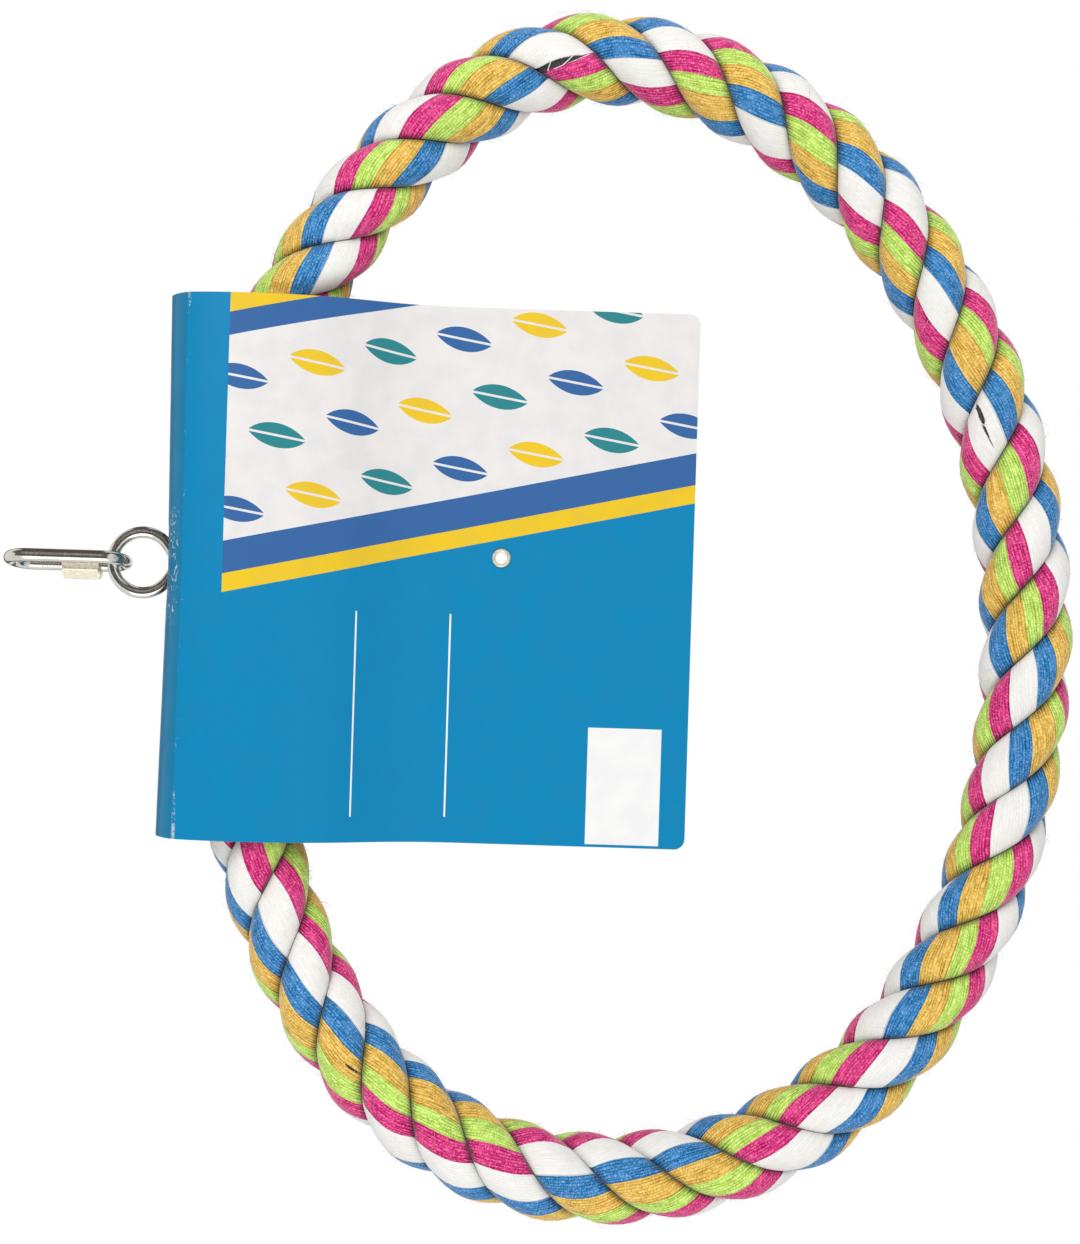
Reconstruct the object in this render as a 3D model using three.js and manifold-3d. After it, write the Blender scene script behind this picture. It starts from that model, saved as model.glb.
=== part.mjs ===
// Bird swing: an oval perch of laid rope, closed by a tube and hung on an eye bolt and a quick link,
// with a folded display card round the tube.
// Millimetres, +Z up, as it hangs. The face of the card looks along -Y.
// The origin is the hang point, on the inside of the quick link's top bend.

import * as THREE from 'three';
import { mergeVertices } from 'three/addons/utils/BufferGeometryUtils.js';
import Module from 'manifold-3d';

const wasm = await Module();
wasm.setup();

// Clearances
const SEAT_GAP = 0.3; // between pieces that rest on or go through each other
const STRAND_GAP = 0.5; // across the rope, between neighbouring strands
const EYE_END_GAP = 0.35; // between the end of the eye's wire and its shank
const ROPE_END_CLEARANCE = 2.5; // along the tube, from the washer to each rope end

// Quick link
const LINK_WIRE = 3.7;
const LINK_INNER_LENGTH = 29.4;
const LINK_OUTER_WIDTH = 16;
const LINK_TURN = 10.2; // degrees about the hanging line, from square to the ring
const GATE_OPENING = 5.2;
const GATE_DROP = 17.7; // from the hang point to the middle of the gate
const SLEEVE_LENGTH = 10.6;
const SLEEVE_FLATS = 7.4;
const SLEEVE_CHAMFER = 0.5;

// Eye bolt, with its washer and nut inside the tube
const EYE_WIRE = 3.3;
const EYE_OUTER = 20.6;
const EYE_TIP_ANGLE = 56; // degrees from the shank's line to each straight side of the eye's tip
const EYE_NECK_BEND = 2.2; // radius of the bend from the shank into the eye
const SHANK_SPARE = 1.5; // shank that shows past the nut
const WASHER_DIAMETER = 9;
const WASHER_THICKNESS = 0.8;
const NUT_FLATS = 7;
const NUT_THICKNESS = 2.8;

// Rope, its end tapes and the tube
const ROPE_DIAMETER = 26;
const ROPE_LAY = 58.3; // length of one turn of a strand
const LAY_LEAD = 3.9; // how far the strands run ahead of an even lay, halfway round the ring
const ROPE_START_ANGLE = 40.75; // degrees of the first strand at the right rope end, from outward to the back
const LOBE_RADIUS = 8.5; // roundness of a strand's outer face
const TAPE_THICKNESS = 0.7;
const TAPE_WIDTH = 14;
const TUBE_WALL = 2.4;
const TUBE_LENGTH = 60;

// Oval of the rope's middle line, from the hanging line and from the tube's axis
const RING_RIGHT = 148;
const RING_LEFT = 172;
const RING_DROP = 224.5;
const RIGHT_DROP = 99.7; // from the tube's axis to the widest point on the right
const LEFT_DROP = 104.7;
const BOTTOM_SHIFT = -18.5; // of the lowest point
// Reach of the curve's tangents at the tube's ends, at both widest points and at the lowest point
const TUBE_REACH_RIGHT = 39;
const SIDE_REACH_RIGHT_UP = 53;
const SIDE_REACH_RIGHT_DOWN = 65;
const BOTTOM_REACH_RIGHT = 89;
const BOTTOM_REACH_LEFT = 92;
const SIDE_REACH_LEFT_DOWN = 71;
const SIDE_REACH_LEFT_UP = 67;
const TUBE_REACH_LEFT = 68;

// Folded card and its eyelet
const CARD_WIDTH = 153;
const CARD_HEIGHT = 151; // from the fold to the free edge
const CARD_THICKNESS = 0.45;
const CARD_SHIFT = -0.8; // of the card's middle from the hanging line
const CARD_CORNER = 3;
const FOLD_STANDOFF = 5.25; // from the tube's top to the underside of the fold
const SPINE_WIDTH = 30; // between the two creases
const SPINE_RISE = 6.9; // from the creases to the fold's top
const PANEL_GAP = 0.5; // between the panels where the eyelet holds them
const PINCH_DROP = 87; // from the fold to where the panels meet
const HUG_REACH = 36; // of the panel's curve below the tube
const PINCH_REACH = 30; // of the panel's curve above the eyelet
const SLOT_PLAY = 3.7; // at each end of the slot for the eye
const SLOT_WIDTH = 12;
const EYELET_DROP = 96.2; // from the fold
const EYELET_SHIFT = 4.4; // from the hanging line
const EYELET_HOLE = 3.4;
const EYELET_WALL = 0.35;
const EYELET_FLANGE = 5.4;
const EYELET_FLANGE_THICKNESS = 0.4;

// Fineness
const WIRE_SIDES = 12;
const ROUND_SEGMENTS = 40;
const BEND_SEGMENTS = 9; // in a quarter turn of bent wire
const STRAND_STEPS_PER_LAY = 10;
const STRAND_FACE_POINTS = 5; // across a strand's outer face, between its creases
const CARD_CURVE_SEGMENTS = 12;
const MERGE_DISTANCE = 1e-4; // vertices nearer than this are one
const LEAST_STEP = 1e-3; // between two points of a route

// Heights that follow from the sizes
const eyeCentreZ = SEAT_GAP - LINK_INNER_LENGTH - (EYE_OUTER / 2 - EYE_WIRE);
const eyeRadius = (EYE_OUTER - EYE_WIRE) / 2;
const eyeTipAngle = THREE.MathUtils.degToRad(EYE_TIP_ANGLE);
const eyeTipZ = eyeCentreZ - eyeRadius / Math.sin(eyeTipAngle);
const eyeNeckZ = eyeTipZ - EYE_NECK_BEND * Math.tan(eyeTipAngle / 2);
const ropeRadius = ROPE_DIAMETER / 2;
const tapeInnerRadius = ropeRadius + SEAT_GAP;
const tapeOuterRadius = tapeInnerRadius + TAPE_THICKNESS;
const boreRadius = tapeOuterRadius + SEAT_GAP;
const tubeRadius = boreRadius + TUBE_WALL;
const tubeTopZ = eyeNeckZ - SEAT_GAP;
const tubeZ = tubeTopZ - tubeRadius;
const foldZ = tubeTopZ + FOLD_STANDOFF + CARD_THICKNESS;
const shankHoleRadius = EYE_WIRE / 2 + SEAT_GAP;
const ropeEndX = WASHER_DIAMETER / 2 + ROPE_END_CLEARANCE;

// Materials
function finish(color, roughness, metalness) {
  return new THREE.MeshStandardMaterial({ color, roughness, metalness });
}
const brightZinc = finish(0xc9ccd0, 0.18, 1);
const satinNickel = finish(0xc8c2b4, 0.38, 1);
const whitePlastic = finish(0xf1efe9, 0.4, 0);
const clothTape = finish(0x2b2b2d, 0.7, 0);
const printedCard = finish(0x1b8cc3, 0.35, 0);
const cottonColours = [0xc92b78, 0x2a73af, 0xa5d745];

// A closed body through a row of rings of points; the ends are capped by fans.
// A quad is cut from its first corner to its far one, or the other way on the listed edges.
function loft(rings, turnedEdges = []) {
  const count = rings[0].length;
  const positions = rings.flat().flatMap((point) => [point.x, point.y, point.z]);
  const triangles = [];
  for (let i = 0; i + 1 < rings.length; i += 1) {
    for (let j = 0; j < count; j += 1) {
      const a = i * count + j;
      const b = i * count + ((j + 1) % count);
      const c = b + count;
      const d = a + count;
      if (turnedEdges.includes(j)) {
        triangles.push(a, b, d, b, c, d);
      } else {
        triangles.push(a, b, c, a, c, d);
      }
    }
  }
  const last = (rings.length - 1) * count;
  for (let j = 1; j + 1 < count; j += 1) {
    triangles.push(0, j + 1, j);
    triangles.push(last, last + j, last + j + 1);
  }
  const geometry = new THREE.BufferGeometry();
  geometry.setAttribute('position', new THREE.Float32BufferAttribute(positions, 3));
  geometry.setIndex(triangles);
  return facingOut(geometry);
}

// Turns every triangle round if the body's volume comes out negative.
function facingOut(geometry) {
  const points = geometry.getAttribute('position');
  const index = geometry.getIndex();
  const corner = [new THREE.Vector3(), new THREE.Vector3(), new THREE.Vector3()];
  let volume = 0;
  for (let t = 0; t < index.count; t += 3) {
    corner.forEach((vector, k) => vector.fromBufferAttribute(points, index.getX(t + k)));
    volume += corner[0].dot(corner[1].clone().cross(corner[2]));
  }
  if (volume < 0) {
    for (let t = 0; t < index.count; t += 3) {
      const second = index.getX(t + 1);
      index.setX(t + 1, index.getX(t + 2));
      index.setX(t + 2, second);
    }
  }
  geometry.computeVertexNormals();
  return geometry;
}

// A round wire along a flat route of points; the plane's normal is given.
function wire(route, diameter, planeNormal) {
  const rings = route.map((point, i) => {
    const before = route[Math.max(i - 1, 0)];
    const after = route[Math.min(i + 1, route.length - 1)];
    const side = after.clone().sub(before).normalize().cross(planeNormal);
    return Array.from({ length: WIRE_SIDES }, (_, j) => {
      const angle = (2 * Math.PI * j) / WIRE_SIDES;
      return point
        .clone()
        .addScaledVector(side, (diameter / 2) * Math.cos(angle))
        .addScaledVector(planeNormal, (diameter / 2) * Math.sin(angle));
    });
  });
  return loft(rings);
}

// Booleans
function solidOf(geometry) {
  const bare = geometry.clone();
  bare.deleteAttribute('normal');
  bare.deleteAttribute('uv');
  const merged = mergeVertices(bare, MERGE_DISTANCE);
  return new wasm.Manifold(
    new wasm.Mesh({
      numProp: 3,
      vertProperties: new Float32Array(merged.getAttribute('position').array),
      triVerts: new Uint32Array(merged.getIndex().array),
    }),
  );
}

function geometryOf(solid) {
  const mesh = solid.getMesh();
  const geometry = new THREE.BufferGeometry();
  geometry.setAttribute('position', new THREE.BufferAttribute(mesh.vertProperties, 3));
  geometry.setIndex(new THREE.BufferAttribute(mesh.triVerts, 1));
  geometry.computeVertexNormals();
  return geometry;
}

// A straight prism: a flat shape pushed out both ways from its plane.
function prism(shape, length) {
  const options = { depth: length, bevelEnabled: false, curveSegments: ROUND_SEGMENTS / 2 };
  return new THREE.ExtrudeGeometry(shape, options).translate(0, 0, -length / 2);
}

function circle(radius) {
  return new THREE.Shape().absarc(0, 0, radius, 0, 2 * Math.PI, false);
}

function hexagon(flats) {
  const corners = Array.from({ length: 6 }, (_, i) => {
    const angle = (Math.PI * i) / 3;
    return new THREE.Vector2(Math.cos(angle), Math.sin(angle)).multiplyScalar(flats / Math.sqrt(3));
  });
  return new THREE.Shape(corners);
}

function withHole(shape, radius) {
  shape.holes.push(new THREE.Path().absarc(0, 0, radius, 0, 2 * Math.PI, true));
  return shape;
}

// Quick link: a stadium of wire in the local YZ plane, open at the gate on its +Y side
const linkBendRadius = (LINK_OUTER_WIDTH - LINK_WIRE) / 2;
const linkTopBendZ = LINK_WIRE / 2 - linkBendRadius;
const linkLowBendZ = linkBendRadius - LINK_INNER_LENGTH - LINK_WIRE / 2;

function linkBody() {
  const path = new THREE.Path();
  path.moveTo(linkBendRadius, -GATE_DROP + GATE_OPENING / 2);
  path.lineTo(linkBendRadius, linkTopBendZ);
  path.absarc(0, linkTopBendZ, linkBendRadius, 0, Math.PI, false);
  path.lineTo(-linkBendRadius, linkLowBendZ);
  path.absarc(0, linkLowBendZ, linkBendRadius, Math.PI, 2 * Math.PI, false);
  path.lineTo(linkBendRadius, -GATE_DROP - GATE_OPENING / 2);
  const route = distinct(path.getPoints(BEND_SEGMENTS)).map((p) => new THREE.Vector3(0, p.x, p.y));
  return wire(route, LINK_WIRE, new THREE.Vector3(1, 0, 0));
}

// Leaves out points that lie on the one before.
function distinct(points) {
  return points.filter((point, i) => i === 0 || point.distanceTo(points[i - 1]) > LEAST_STEP);
}

// Hexagon sleeve with turned-down ends, round the gate
function linkSleeveNut() {
  const hex = prism(withHole(hexagon(SLEEVE_FLATS), LINK_WIRE / 2 + SEAT_GAP), SLEEVE_LENGTH);
  const corner = SLEEVE_FLATS / Math.sqrt(3);
  const half = SLEEVE_LENGTH / 2;
  const turned = new THREE.LatheGeometry(
    [
      new THREE.Vector2(0, -half),
      new THREE.Vector2(corner - SLEEVE_CHAMFER, -half),
      new THREE.Vector2(corner, SLEEVE_CHAMFER - half),
      new THREE.Vector2(corner, half - SLEEVE_CHAMFER),
      new THREE.Vector2(corner - SLEEVE_CHAMFER, half),
      new THREE.Vector2(0, half),
    ],
    ROUND_SEGMENTS,
  ).rotateX(Math.PI / 2);
  return geometryOf(solidOf(hex).intersect(solidOf(turned)));
}

// Eye bolt: the shank rises through the tube, bends out and runs once round the eye, which comes to a tip
const washerTopZ = tubeZ + Math.sqrt(boreRadius ** 2 - (WASHER_DIAMETER / 2) ** 2) - SEAT_GAP;
const nutTopZ = washerTopZ - WASHER_THICKNESS - SEAT_GAP;
const shankEndZ = nutTopZ - NUT_THICKNESS - SHANK_SPARE;

function eyeBolt() {
  const bend = new THREE.Vector2(EYE_NECK_BEND, eyeNeckZ - eyeTipZ); // centre, from the tip
  const side = new THREE.Vector2(-Math.sin(eyeTipAngle), Math.cos(eyeTipAngle)); // tip to wire's end
  const reach = EYE_NECK_BEND + EYE_WIRE / 2 + EYE_END_GAP;
  const back = bend.dot(side);
  const endDistance = back + Math.sqrt(back ** 2 - bend.lengthSq() + reach ** 2);
  const path = new THREE.Path();
  path.moveTo(0, shankEndZ);
  path.lineTo(0, eyeNeckZ);
  path.absarc(EYE_NECK_BEND, eyeNeckZ, EYE_NECK_BEND, Math.PI, Math.PI - eyeTipAngle, true);
  path.absarc(0, eyeCentreZ, eyeRadius, -eyeTipAngle, Math.PI + eyeTipAngle, false);
  path.lineTo(side.x * endDistance, eyeTipZ + side.y * endDistance);
  const route = distinct(path.getPoints(BEND_SEGMENTS * 2)).map((p) => new THREE.Vector3(p.x, 0, p.y));
  return wire(route, EYE_WIRE, new THREE.Vector3(0, 1, 0));
}

function eyeWasher() {
  return prism(withHole(circle(WASHER_DIAMETER / 2), shankHoleRadius), WASHER_THICKNESS);
}

function eyeNut() {
  return prism(withHole(hexagon(NUT_FLATS), shankHoleRadius), NUT_THICKNESS);
}

// Tube, with the hole for the shank in its upper wall
function jointTube() {
  const pipe = prism(withHole(circle(tubeRadius), boreRadius), TUBE_LENGTH).rotateY(Math.PI / 2);
  const drill = prism(circle(shankHoleRadius), tubeRadius).translate(0, 0, tubeRadius);
  return geometryOf(solidOf(pipe).subtract(solidOf(drill)));
}

function endTape() {
  return prism(withHole(circle(tapeOuterRadius), tapeInnerRadius), TAPE_WIDTH).rotateY(Math.PI / 2);
}

// Middle line of the rope, clockwise as seen from the front, from one rope end in the tube to the other
function ropeRoute() {
  const at = (x, z) => new THREE.Vector3(x, 0, z);
  const mouth = TUBE_LENGTH / 2;
  const rightZ = tubeZ - RIGHT_DROP;
  const leftZ = tubeZ - LEFT_DROP;
  const lowZ = tubeZ - RING_DROP;
  const curve = (...points) => new THREE.CubicBezierCurve3(...points);
  const route = new THREE.CurvePath();
  route.add(new THREE.LineCurve3(at(ropeEndX, tubeZ), at(mouth, tubeZ)));
  route.add(
    curve(
      at(mouth, tubeZ),
      at(mouth + TUBE_REACH_RIGHT, tubeZ),
      at(RING_RIGHT, rightZ + SIDE_REACH_RIGHT_UP),
      at(RING_RIGHT, rightZ),
    ),
  );
  route.add(
    curve(
      at(RING_RIGHT, rightZ),
      at(RING_RIGHT, rightZ - SIDE_REACH_RIGHT_DOWN),
      at(BOTTOM_SHIFT + BOTTOM_REACH_RIGHT, lowZ),
      at(BOTTOM_SHIFT, lowZ),
    ),
  );
  route.add(
    curve(
      at(BOTTOM_SHIFT, lowZ),
      at(BOTTOM_SHIFT - BOTTOM_REACH_LEFT, lowZ),
      at(-RING_LEFT, leftZ - SIDE_REACH_LEFT_DOWN),
      at(-RING_LEFT, leftZ),
    ),
  );
  route.add(
    curve(
      at(-RING_LEFT, leftZ),
      at(-RING_LEFT, leftZ + SIDE_REACH_LEFT_UP),
      at(-mouth - TUBE_REACH_LEFT, tubeZ),
      at(-mouth, tubeZ),
    ),
  );
  route.add(new THREE.LineCurve3(at(-mouth, tubeZ), at(-ropeEndX, tubeZ)));
  return route;
}

// Section of a strand across the rope: a third of it, round outside and flat against its neighbours.
// Given as distance out along the strand's own middle line and distance sideways.
function strandSection() {
  const halfThird = Math.PI / 3;
  const lobeCentre = ropeRadius - LOBE_RADIUS;
  const lobe = (angle) =>
    lobeCentre * Math.cos(angle) + Math.sqrt(LOBE_RADIUS ** 2 - (lobeCentre * Math.sin(angle)) ** 2);
  const inset = STRAND_GAP / 2 / Math.sin(halfThird);
  const reach = lobe(halfThird) - inset;
  const crease = (side) => [inset + reach * Math.cos(halfThird), side * reach * Math.sin(halfThird)];
  const face = Array.from({ length: STRAND_FACE_POINTS }, (_, i) => {
    const angle = halfThird * ((2 * (i + 1)) / (STRAND_FACE_POINTS + 1) - 1);
    return [lobe(angle) * Math.cos(angle), lobe(angle) * Math.sin(angle)];
  });
  return [[inset, 0], crease(-1), ...face, crease(1)];
}

// One strand: its section turns right-handed round the rope's middle line, about once in each lay.
// The first side is cut the other way, so that it lies along its neighbour's last side.
function strand(startAngle) {
  const route = ropeRoute();
  const length = route.getLength();
  const steps = Math.round((length / ROPE_LAY) * STRAND_STEPS_PER_LAY);
  const section = strandSection();
  const across = new THREE.Vector3(0, 1, 0);
  const rings = Array.from({ length: steps + 1 }, (_, i) => {
    const share = i / steps;
    const point = route.getPointAt(share);
    const outward = route.getTangentAt(share).cross(across);
    const laid = share * length + LAY_LEAD * Math.sin(Math.PI * share) ** 2;
    const angle = startAngle - (2 * Math.PI * laid) / ROPE_LAY;
    const out = outward.clone().multiplyScalar(Math.cos(angle)).addScaledVector(across, Math.sin(angle));
    const aside = across.clone().multiplyScalar(Math.cos(angle)).addScaledVector(outward, -Math.sin(angle));
    return section.map(([along, sideways]) =>
      point.clone().addScaledVector(out, along).addScaledVector(aside, sideways),
    );
  });
  return loft(rings, [0]);
}

// Middle line of the folded sheet, in Y and Z, from the front panel's free edge over the fold to the back one
function cardLine() {
  const hugY = tubeRadius + SEAT_GAP + CARD_THICKNESS / 2;
  const pinchY = (PANEL_GAP + CARD_THICKNESS) / 2;
  const topZ = foldZ - CARD_THICKNESS / 2;
  const creaseY = SPINE_WIDTH / 2;
  const creaseZ = topZ - SPINE_RISE;
  const point = (y, z) => new THREE.Vector2(y, z);
  const archRadius = (creaseY ** 2 + SPINE_RISE ** 2) / (2 * SPINE_RISE);
  const archAngle = Math.asin(creaseY / archRadius);
  const panel = new THREE.CubicBezierCurve(
    point(pinchY, foldZ - PINCH_DROP),
    point(pinchY, foldZ - PINCH_DROP + PINCH_REACH),
    point(hugY, tubeZ - HUG_REACH),
    point(hugY, tubeZ),
  );
  const cheek = new THREE.QuadraticBezierCurve(
    point(hugY, tubeZ),
    point(hugY, (creaseZ + tubeZ) / 2),
    point(creaseY, creaseZ),
  );
  const arch = new THREE.EllipseCurve(
    0,
    topZ - archRadius,
    archRadius,
    archRadius,
    Math.PI / 2 - archAngle,
    Math.PI / 2,
    false,
  );
  const half = distinct([
    point(pinchY, foldZ - CARD_HEIGHT),
    ...panel.getPoints(CARD_CURVE_SEGMENTS),
    ...cheek.getPoints(CARD_CURVE_SEGMENTS / 2),
    ...arch.getPoints(CARD_CURVE_SEGMENTS / 2),
  ]);
  const mirrored = half.slice(0, -1).map((p) => point(-p.x, p.y));
  return [...mirrored, ...half.reverse()];
}

// The sheet as a solid: the middle line, thickened both ways and as long as the card is wide
function headerCard() {
  const line = cardLine();
  const edge = (side) =>
    line.map((p, i) => {
      const before = line[Math.max(i - 1, 0)];
      const after = line[Math.min(i + 1, line.length - 1)];
      const along = after.clone().sub(before).normalize();
      return new THREE.Vector2(-along.y, along.x).multiplyScalar((side * CARD_THICKNESS) / 2).add(p);
    });
  const sheet = prism(new THREE.Shape([...edge(1), ...edge(-1).reverse()]), CARD_WIDTH);
  sheet.applyMatrix4(new THREE.Matrix4().makeBasis(...yzxAxes()));
  sheet.translate(CARD_SHIFT, 0, 0);
  return geometryOf(
    solidOf(sheet)
      .intersect(solidOf(cardOutline()))
      .subtract(solidOf(eyeSlot()))
      .subtract(solidOf(eyeletDrill())),
  );
}

// Carries a flat shape's own x, y and depth to Y, Z and X.
function yzxAxes() {
  return [new THREE.Vector3(0, 1, 0), new THREE.Vector3(0, 0, 1), new THREE.Vector3(1, 0, 0)];
}

// Outline of the hanging card from the front, with its free corners rounded
function cardOutline() {
  const half = CARD_WIDTH / 2;
  const low = foldZ - CARD_HEIGHT;
  const high = foldZ + CARD_CORNER;
  const shape = new THREE.Shape();
  shape.moveTo(-half, high);
  shape.lineTo(-half, low + CARD_CORNER);
  shape.absarc(CARD_CORNER - half, low + CARD_CORNER, CARD_CORNER, Math.PI, 1.5 * Math.PI, false);
  shape.absarc(half - CARD_CORNER, low + CARD_CORNER, CARD_CORNER, 1.5 * Math.PI, 2 * Math.PI, false);
  shape.lineTo(half, high);
  const options = { depth: 4 * tubeRadius, bevelEnabled: false, curveSegments: BEND_SEGMENTS };
  const block = new THREE.ExtrudeGeometry(shape, options).translate(0, 0, -2 * tubeRadius);
  return block.rotateX(Math.PI / 2).translate(CARD_SHIFT, 0, 0);
}

// Slot with round ends in the fold, through which the eye passes
function eyeSlot() {
  const reach = EYE_OUTER / 2 + SLOT_PLAY - SLOT_WIDTH / 2;
  const shape = new THREE.Shape();
  shape.absarc(reach, 0, SLOT_WIDTH / 2, -Math.PI / 2, Math.PI / 2, false);
  shape.absarc(-reach, 0, SLOT_WIDTH / 2, Math.PI / 2, 1.5 * Math.PI, false);
  return prism(shape, 2 * SPINE_RISE).translate(0, 0, foldZ);
}

// Eyelet: a short barrel through both panels, with a flange on each face
const eyeletZ = foldZ - EYELET_DROP;
const eyeletBarrelRadius = EYELET_HOLE / 2 + EYELET_WALL;

function eyeletDrill() {
  const drill = prism(circle(eyeletBarrelRadius + SEAT_GAP), 4 * tubeRadius).rotateX(Math.PI / 2);
  return drill.translate(EYELET_SHIFT, 0, eyeletZ);
}

function cardEyelet() {
  const inner = EYELET_HOLE / 2;
  const flange = EYELET_FLANGE / 2;
  const seat = PANEL_GAP / 2 + CARD_THICKNESS + SEAT_GAP;
  const face = seat + EYELET_FLANGE_THICKNESS;
  const outline = [
    [inner, -face],
    [flange, -face],
    [flange, -seat],
    [eyeletBarrelRadius, -seat],
    [eyeletBarrelRadius, seat],
    [flange, seat],
    [flange, face],
    [inner, face],
    [inner, -face],
  ];
  return new THREE.LatheGeometry(
    outline.map(([radius, y]) => new THREE.Vector2(radius, y)),
    ROUND_SEGMENTS / 2,
  );
}

// Assembly
function add(parent, name, geometry, material, x = 0, y = 0, z = 0) {
  const mesh = new THREE.Mesh(geometry, material);
  mesh.name = name;
  mesh.position.set(x, y, z);
  parent.add(mesh);
}

const swing = new THREE.Group();

const link = new THREE.Group();
link.rotation.z = THREE.MathUtils.degToRad(LINK_TURN);
add(link, 'link_body', linkBody(), brightZinc);
add(link, 'link_sleeve_nut', linkSleeveNut(), satinNickel, 0, linkBendRadius, -GATE_DROP);
swing.add(link);

add(swing, 'eye_bolt', eyeBolt(), brightZinc);
add(swing, 'eye_washer', eyeWasher(), brightZinc, 0, 0, washerTopZ - WASHER_THICKNESS / 2);
add(swing, 'eye_nut', eyeNut(), brightZinc, 0, 0, nutTopZ - NUT_THICKNESS / 2);

add(swing, 'joint_tube', jointTube(), whitePlastic, 0, 0, tubeZ);
const tapeX = ropeEndX + TAPE_WIDTH / 2;
add(swing, 'end_tape_right', endTape(), clothTape, tapeX, 0, tubeZ);
add(swing, 'end_tape_left', endTape(), clothTape, -tapeX, 0, tubeZ);
cottonColours.forEach((color, i) => {
  const startAngle = THREE.MathUtils.degToRad(ROPE_START_ANGLE + (360 * i) / cottonColours.length);
  add(swing, `strand_${i + 1}`, strand(startAngle), finish(color, 0.9, 0));
});

add(swing, 'header_card', headerCard(), printedCard);
add(swing, 'card_eyelet', cardEyelet(), satinNickel, EYELET_SHIFT, 0, eyeletZ);

export default swing;
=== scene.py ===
"""Bird swing: an oval perch of laid cotton rope, hung on an eye bolt and a quick link, with a folded card.

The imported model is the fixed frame. The surfaces that show are worked out here as number arrays, in metres,
where the frame's solids are, and get their materials. The stage holds the floor, the light and the camera.
"""

import math

import bpy
import numpy as np
from bpy.props import FloatProperty, FloatVectorProperty, IntProperty, PointerProperty
from mathutils import Matrix, Vector


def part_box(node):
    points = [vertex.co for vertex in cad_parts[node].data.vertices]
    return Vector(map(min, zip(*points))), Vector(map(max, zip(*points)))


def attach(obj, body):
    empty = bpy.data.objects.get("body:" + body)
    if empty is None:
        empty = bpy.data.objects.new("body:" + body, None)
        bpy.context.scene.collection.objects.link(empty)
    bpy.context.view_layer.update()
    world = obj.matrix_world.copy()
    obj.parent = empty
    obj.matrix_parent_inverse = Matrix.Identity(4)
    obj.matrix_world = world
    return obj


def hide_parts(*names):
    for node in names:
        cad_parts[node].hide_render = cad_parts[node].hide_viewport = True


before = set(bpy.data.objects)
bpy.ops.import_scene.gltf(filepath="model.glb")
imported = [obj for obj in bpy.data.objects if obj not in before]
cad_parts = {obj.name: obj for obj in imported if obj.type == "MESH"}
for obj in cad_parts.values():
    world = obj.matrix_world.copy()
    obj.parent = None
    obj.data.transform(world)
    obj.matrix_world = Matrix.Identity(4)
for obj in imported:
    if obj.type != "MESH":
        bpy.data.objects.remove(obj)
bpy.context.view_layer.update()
TUBE_LOW, TUBE_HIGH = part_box("joint_tube")
CARD_LOW, CARD_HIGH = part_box("header_card")
LINK_LOW, LINK_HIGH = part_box("link_body")
NUT_LOW, NUT_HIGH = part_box("link_sleeve_nut")
EYE_LOW, EYE_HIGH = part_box("eye_bolt")
EYELET_LOW, EYELET_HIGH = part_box("card_eyelet")
TUBE_Z = (TUBE_LOW.z + TUBE_HIGH.z) / 2
EYELET_X = (EYELET_LOW.x + EYELET_HIGH.x) / 2
EYELET_Z = (EYELET_LOW.z + EYELET_HIGH.z) / 2

bl_info = {
    "name": "Bird swing",
    "version": (1, 0, 0),
    "blender": (4, 5, 0),
    "location": "View3D > Sidebar > Bird swing",
    "description": "Builds the finished surfaces of a rope bird swing over its packed solids",
    "category": "Add Mesh",
}

FRONT = np.array([0.0, -1.0, 0.0])
UP = np.array([0.0, 0.0, 1.0])
STRANDS = 3
STRIPES = 5  # coloured stripes round a strand
ROWS_PER_YARN = 3
FLAT_ANGLE = math.radians(60)  # from a strand's middle to the flat where it meets its neighbour
STRAND_STRIPES = 200  # added to the stripe numbers of each next strand, so that no two strands share one
COLUMN_PLACES = np.array([0.12, 0.36, 0.60, 0.81, 0.93, 1.0])  # across half a strand, closer at its crease
EYELET_PLAY = 0.0003  # between the eyelet and the card
WHITE = (1.0, 1.0, 1.0, 1.0)

# Places where the yarns part and the dark filler shows: strand, stripe across, distance along in metres,
# half length in metres and half width in stripes
SLITS = (
    (2, 41.36, 0.1702, 0.0122, 0.17),
    (2, 80.48, 0.3471, 0.0034, 0.12),
    (2, 80.52, 0.3512, 0.0036, 0.06),
    (2, 80.53, 0.3550, 0.0028, 0.022),
    (0, 158.49, 0.7130, 0.0024, 0.06),
)

# Single yarns over a slit: slit, first and last place along in half lengths, first and last place across in
# half widths, and how far the yarn bows to the side
CROSSINGS = (
    (0, 0.05, 0.17, 0.9, -1.0, 0.0),
    (0, 0.42, 0.73, 0.95, -0.75, 0.08),
    (0, 0.22, 1.10, 1.0, 0.0, 0.3),
    (2, -0.62, 0.10, 2.4, -2.2, 0.2),
)


# Properties


def length(name, description, default):
    """A property that holds a length in metres."""
    return FloatProperty(
        name=name, description=description, default=default, unit="LENGTH", subtype="DISTANCE", precision=5
    )


def angle(name, description, degrees):
    """A property that holds an angle."""
    return FloatProperty(
        name=name, description=description, default=math.radians(degrees), unit="ROTATION", subtype="ANGLE"
    )


def figures(name, description, *values, unit="NONE"):
    """A property that holds several numbers."""
    return FloatVectorProperty(
        name=name, description=description, default=values, size=len(values), unit=unit
    )


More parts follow.
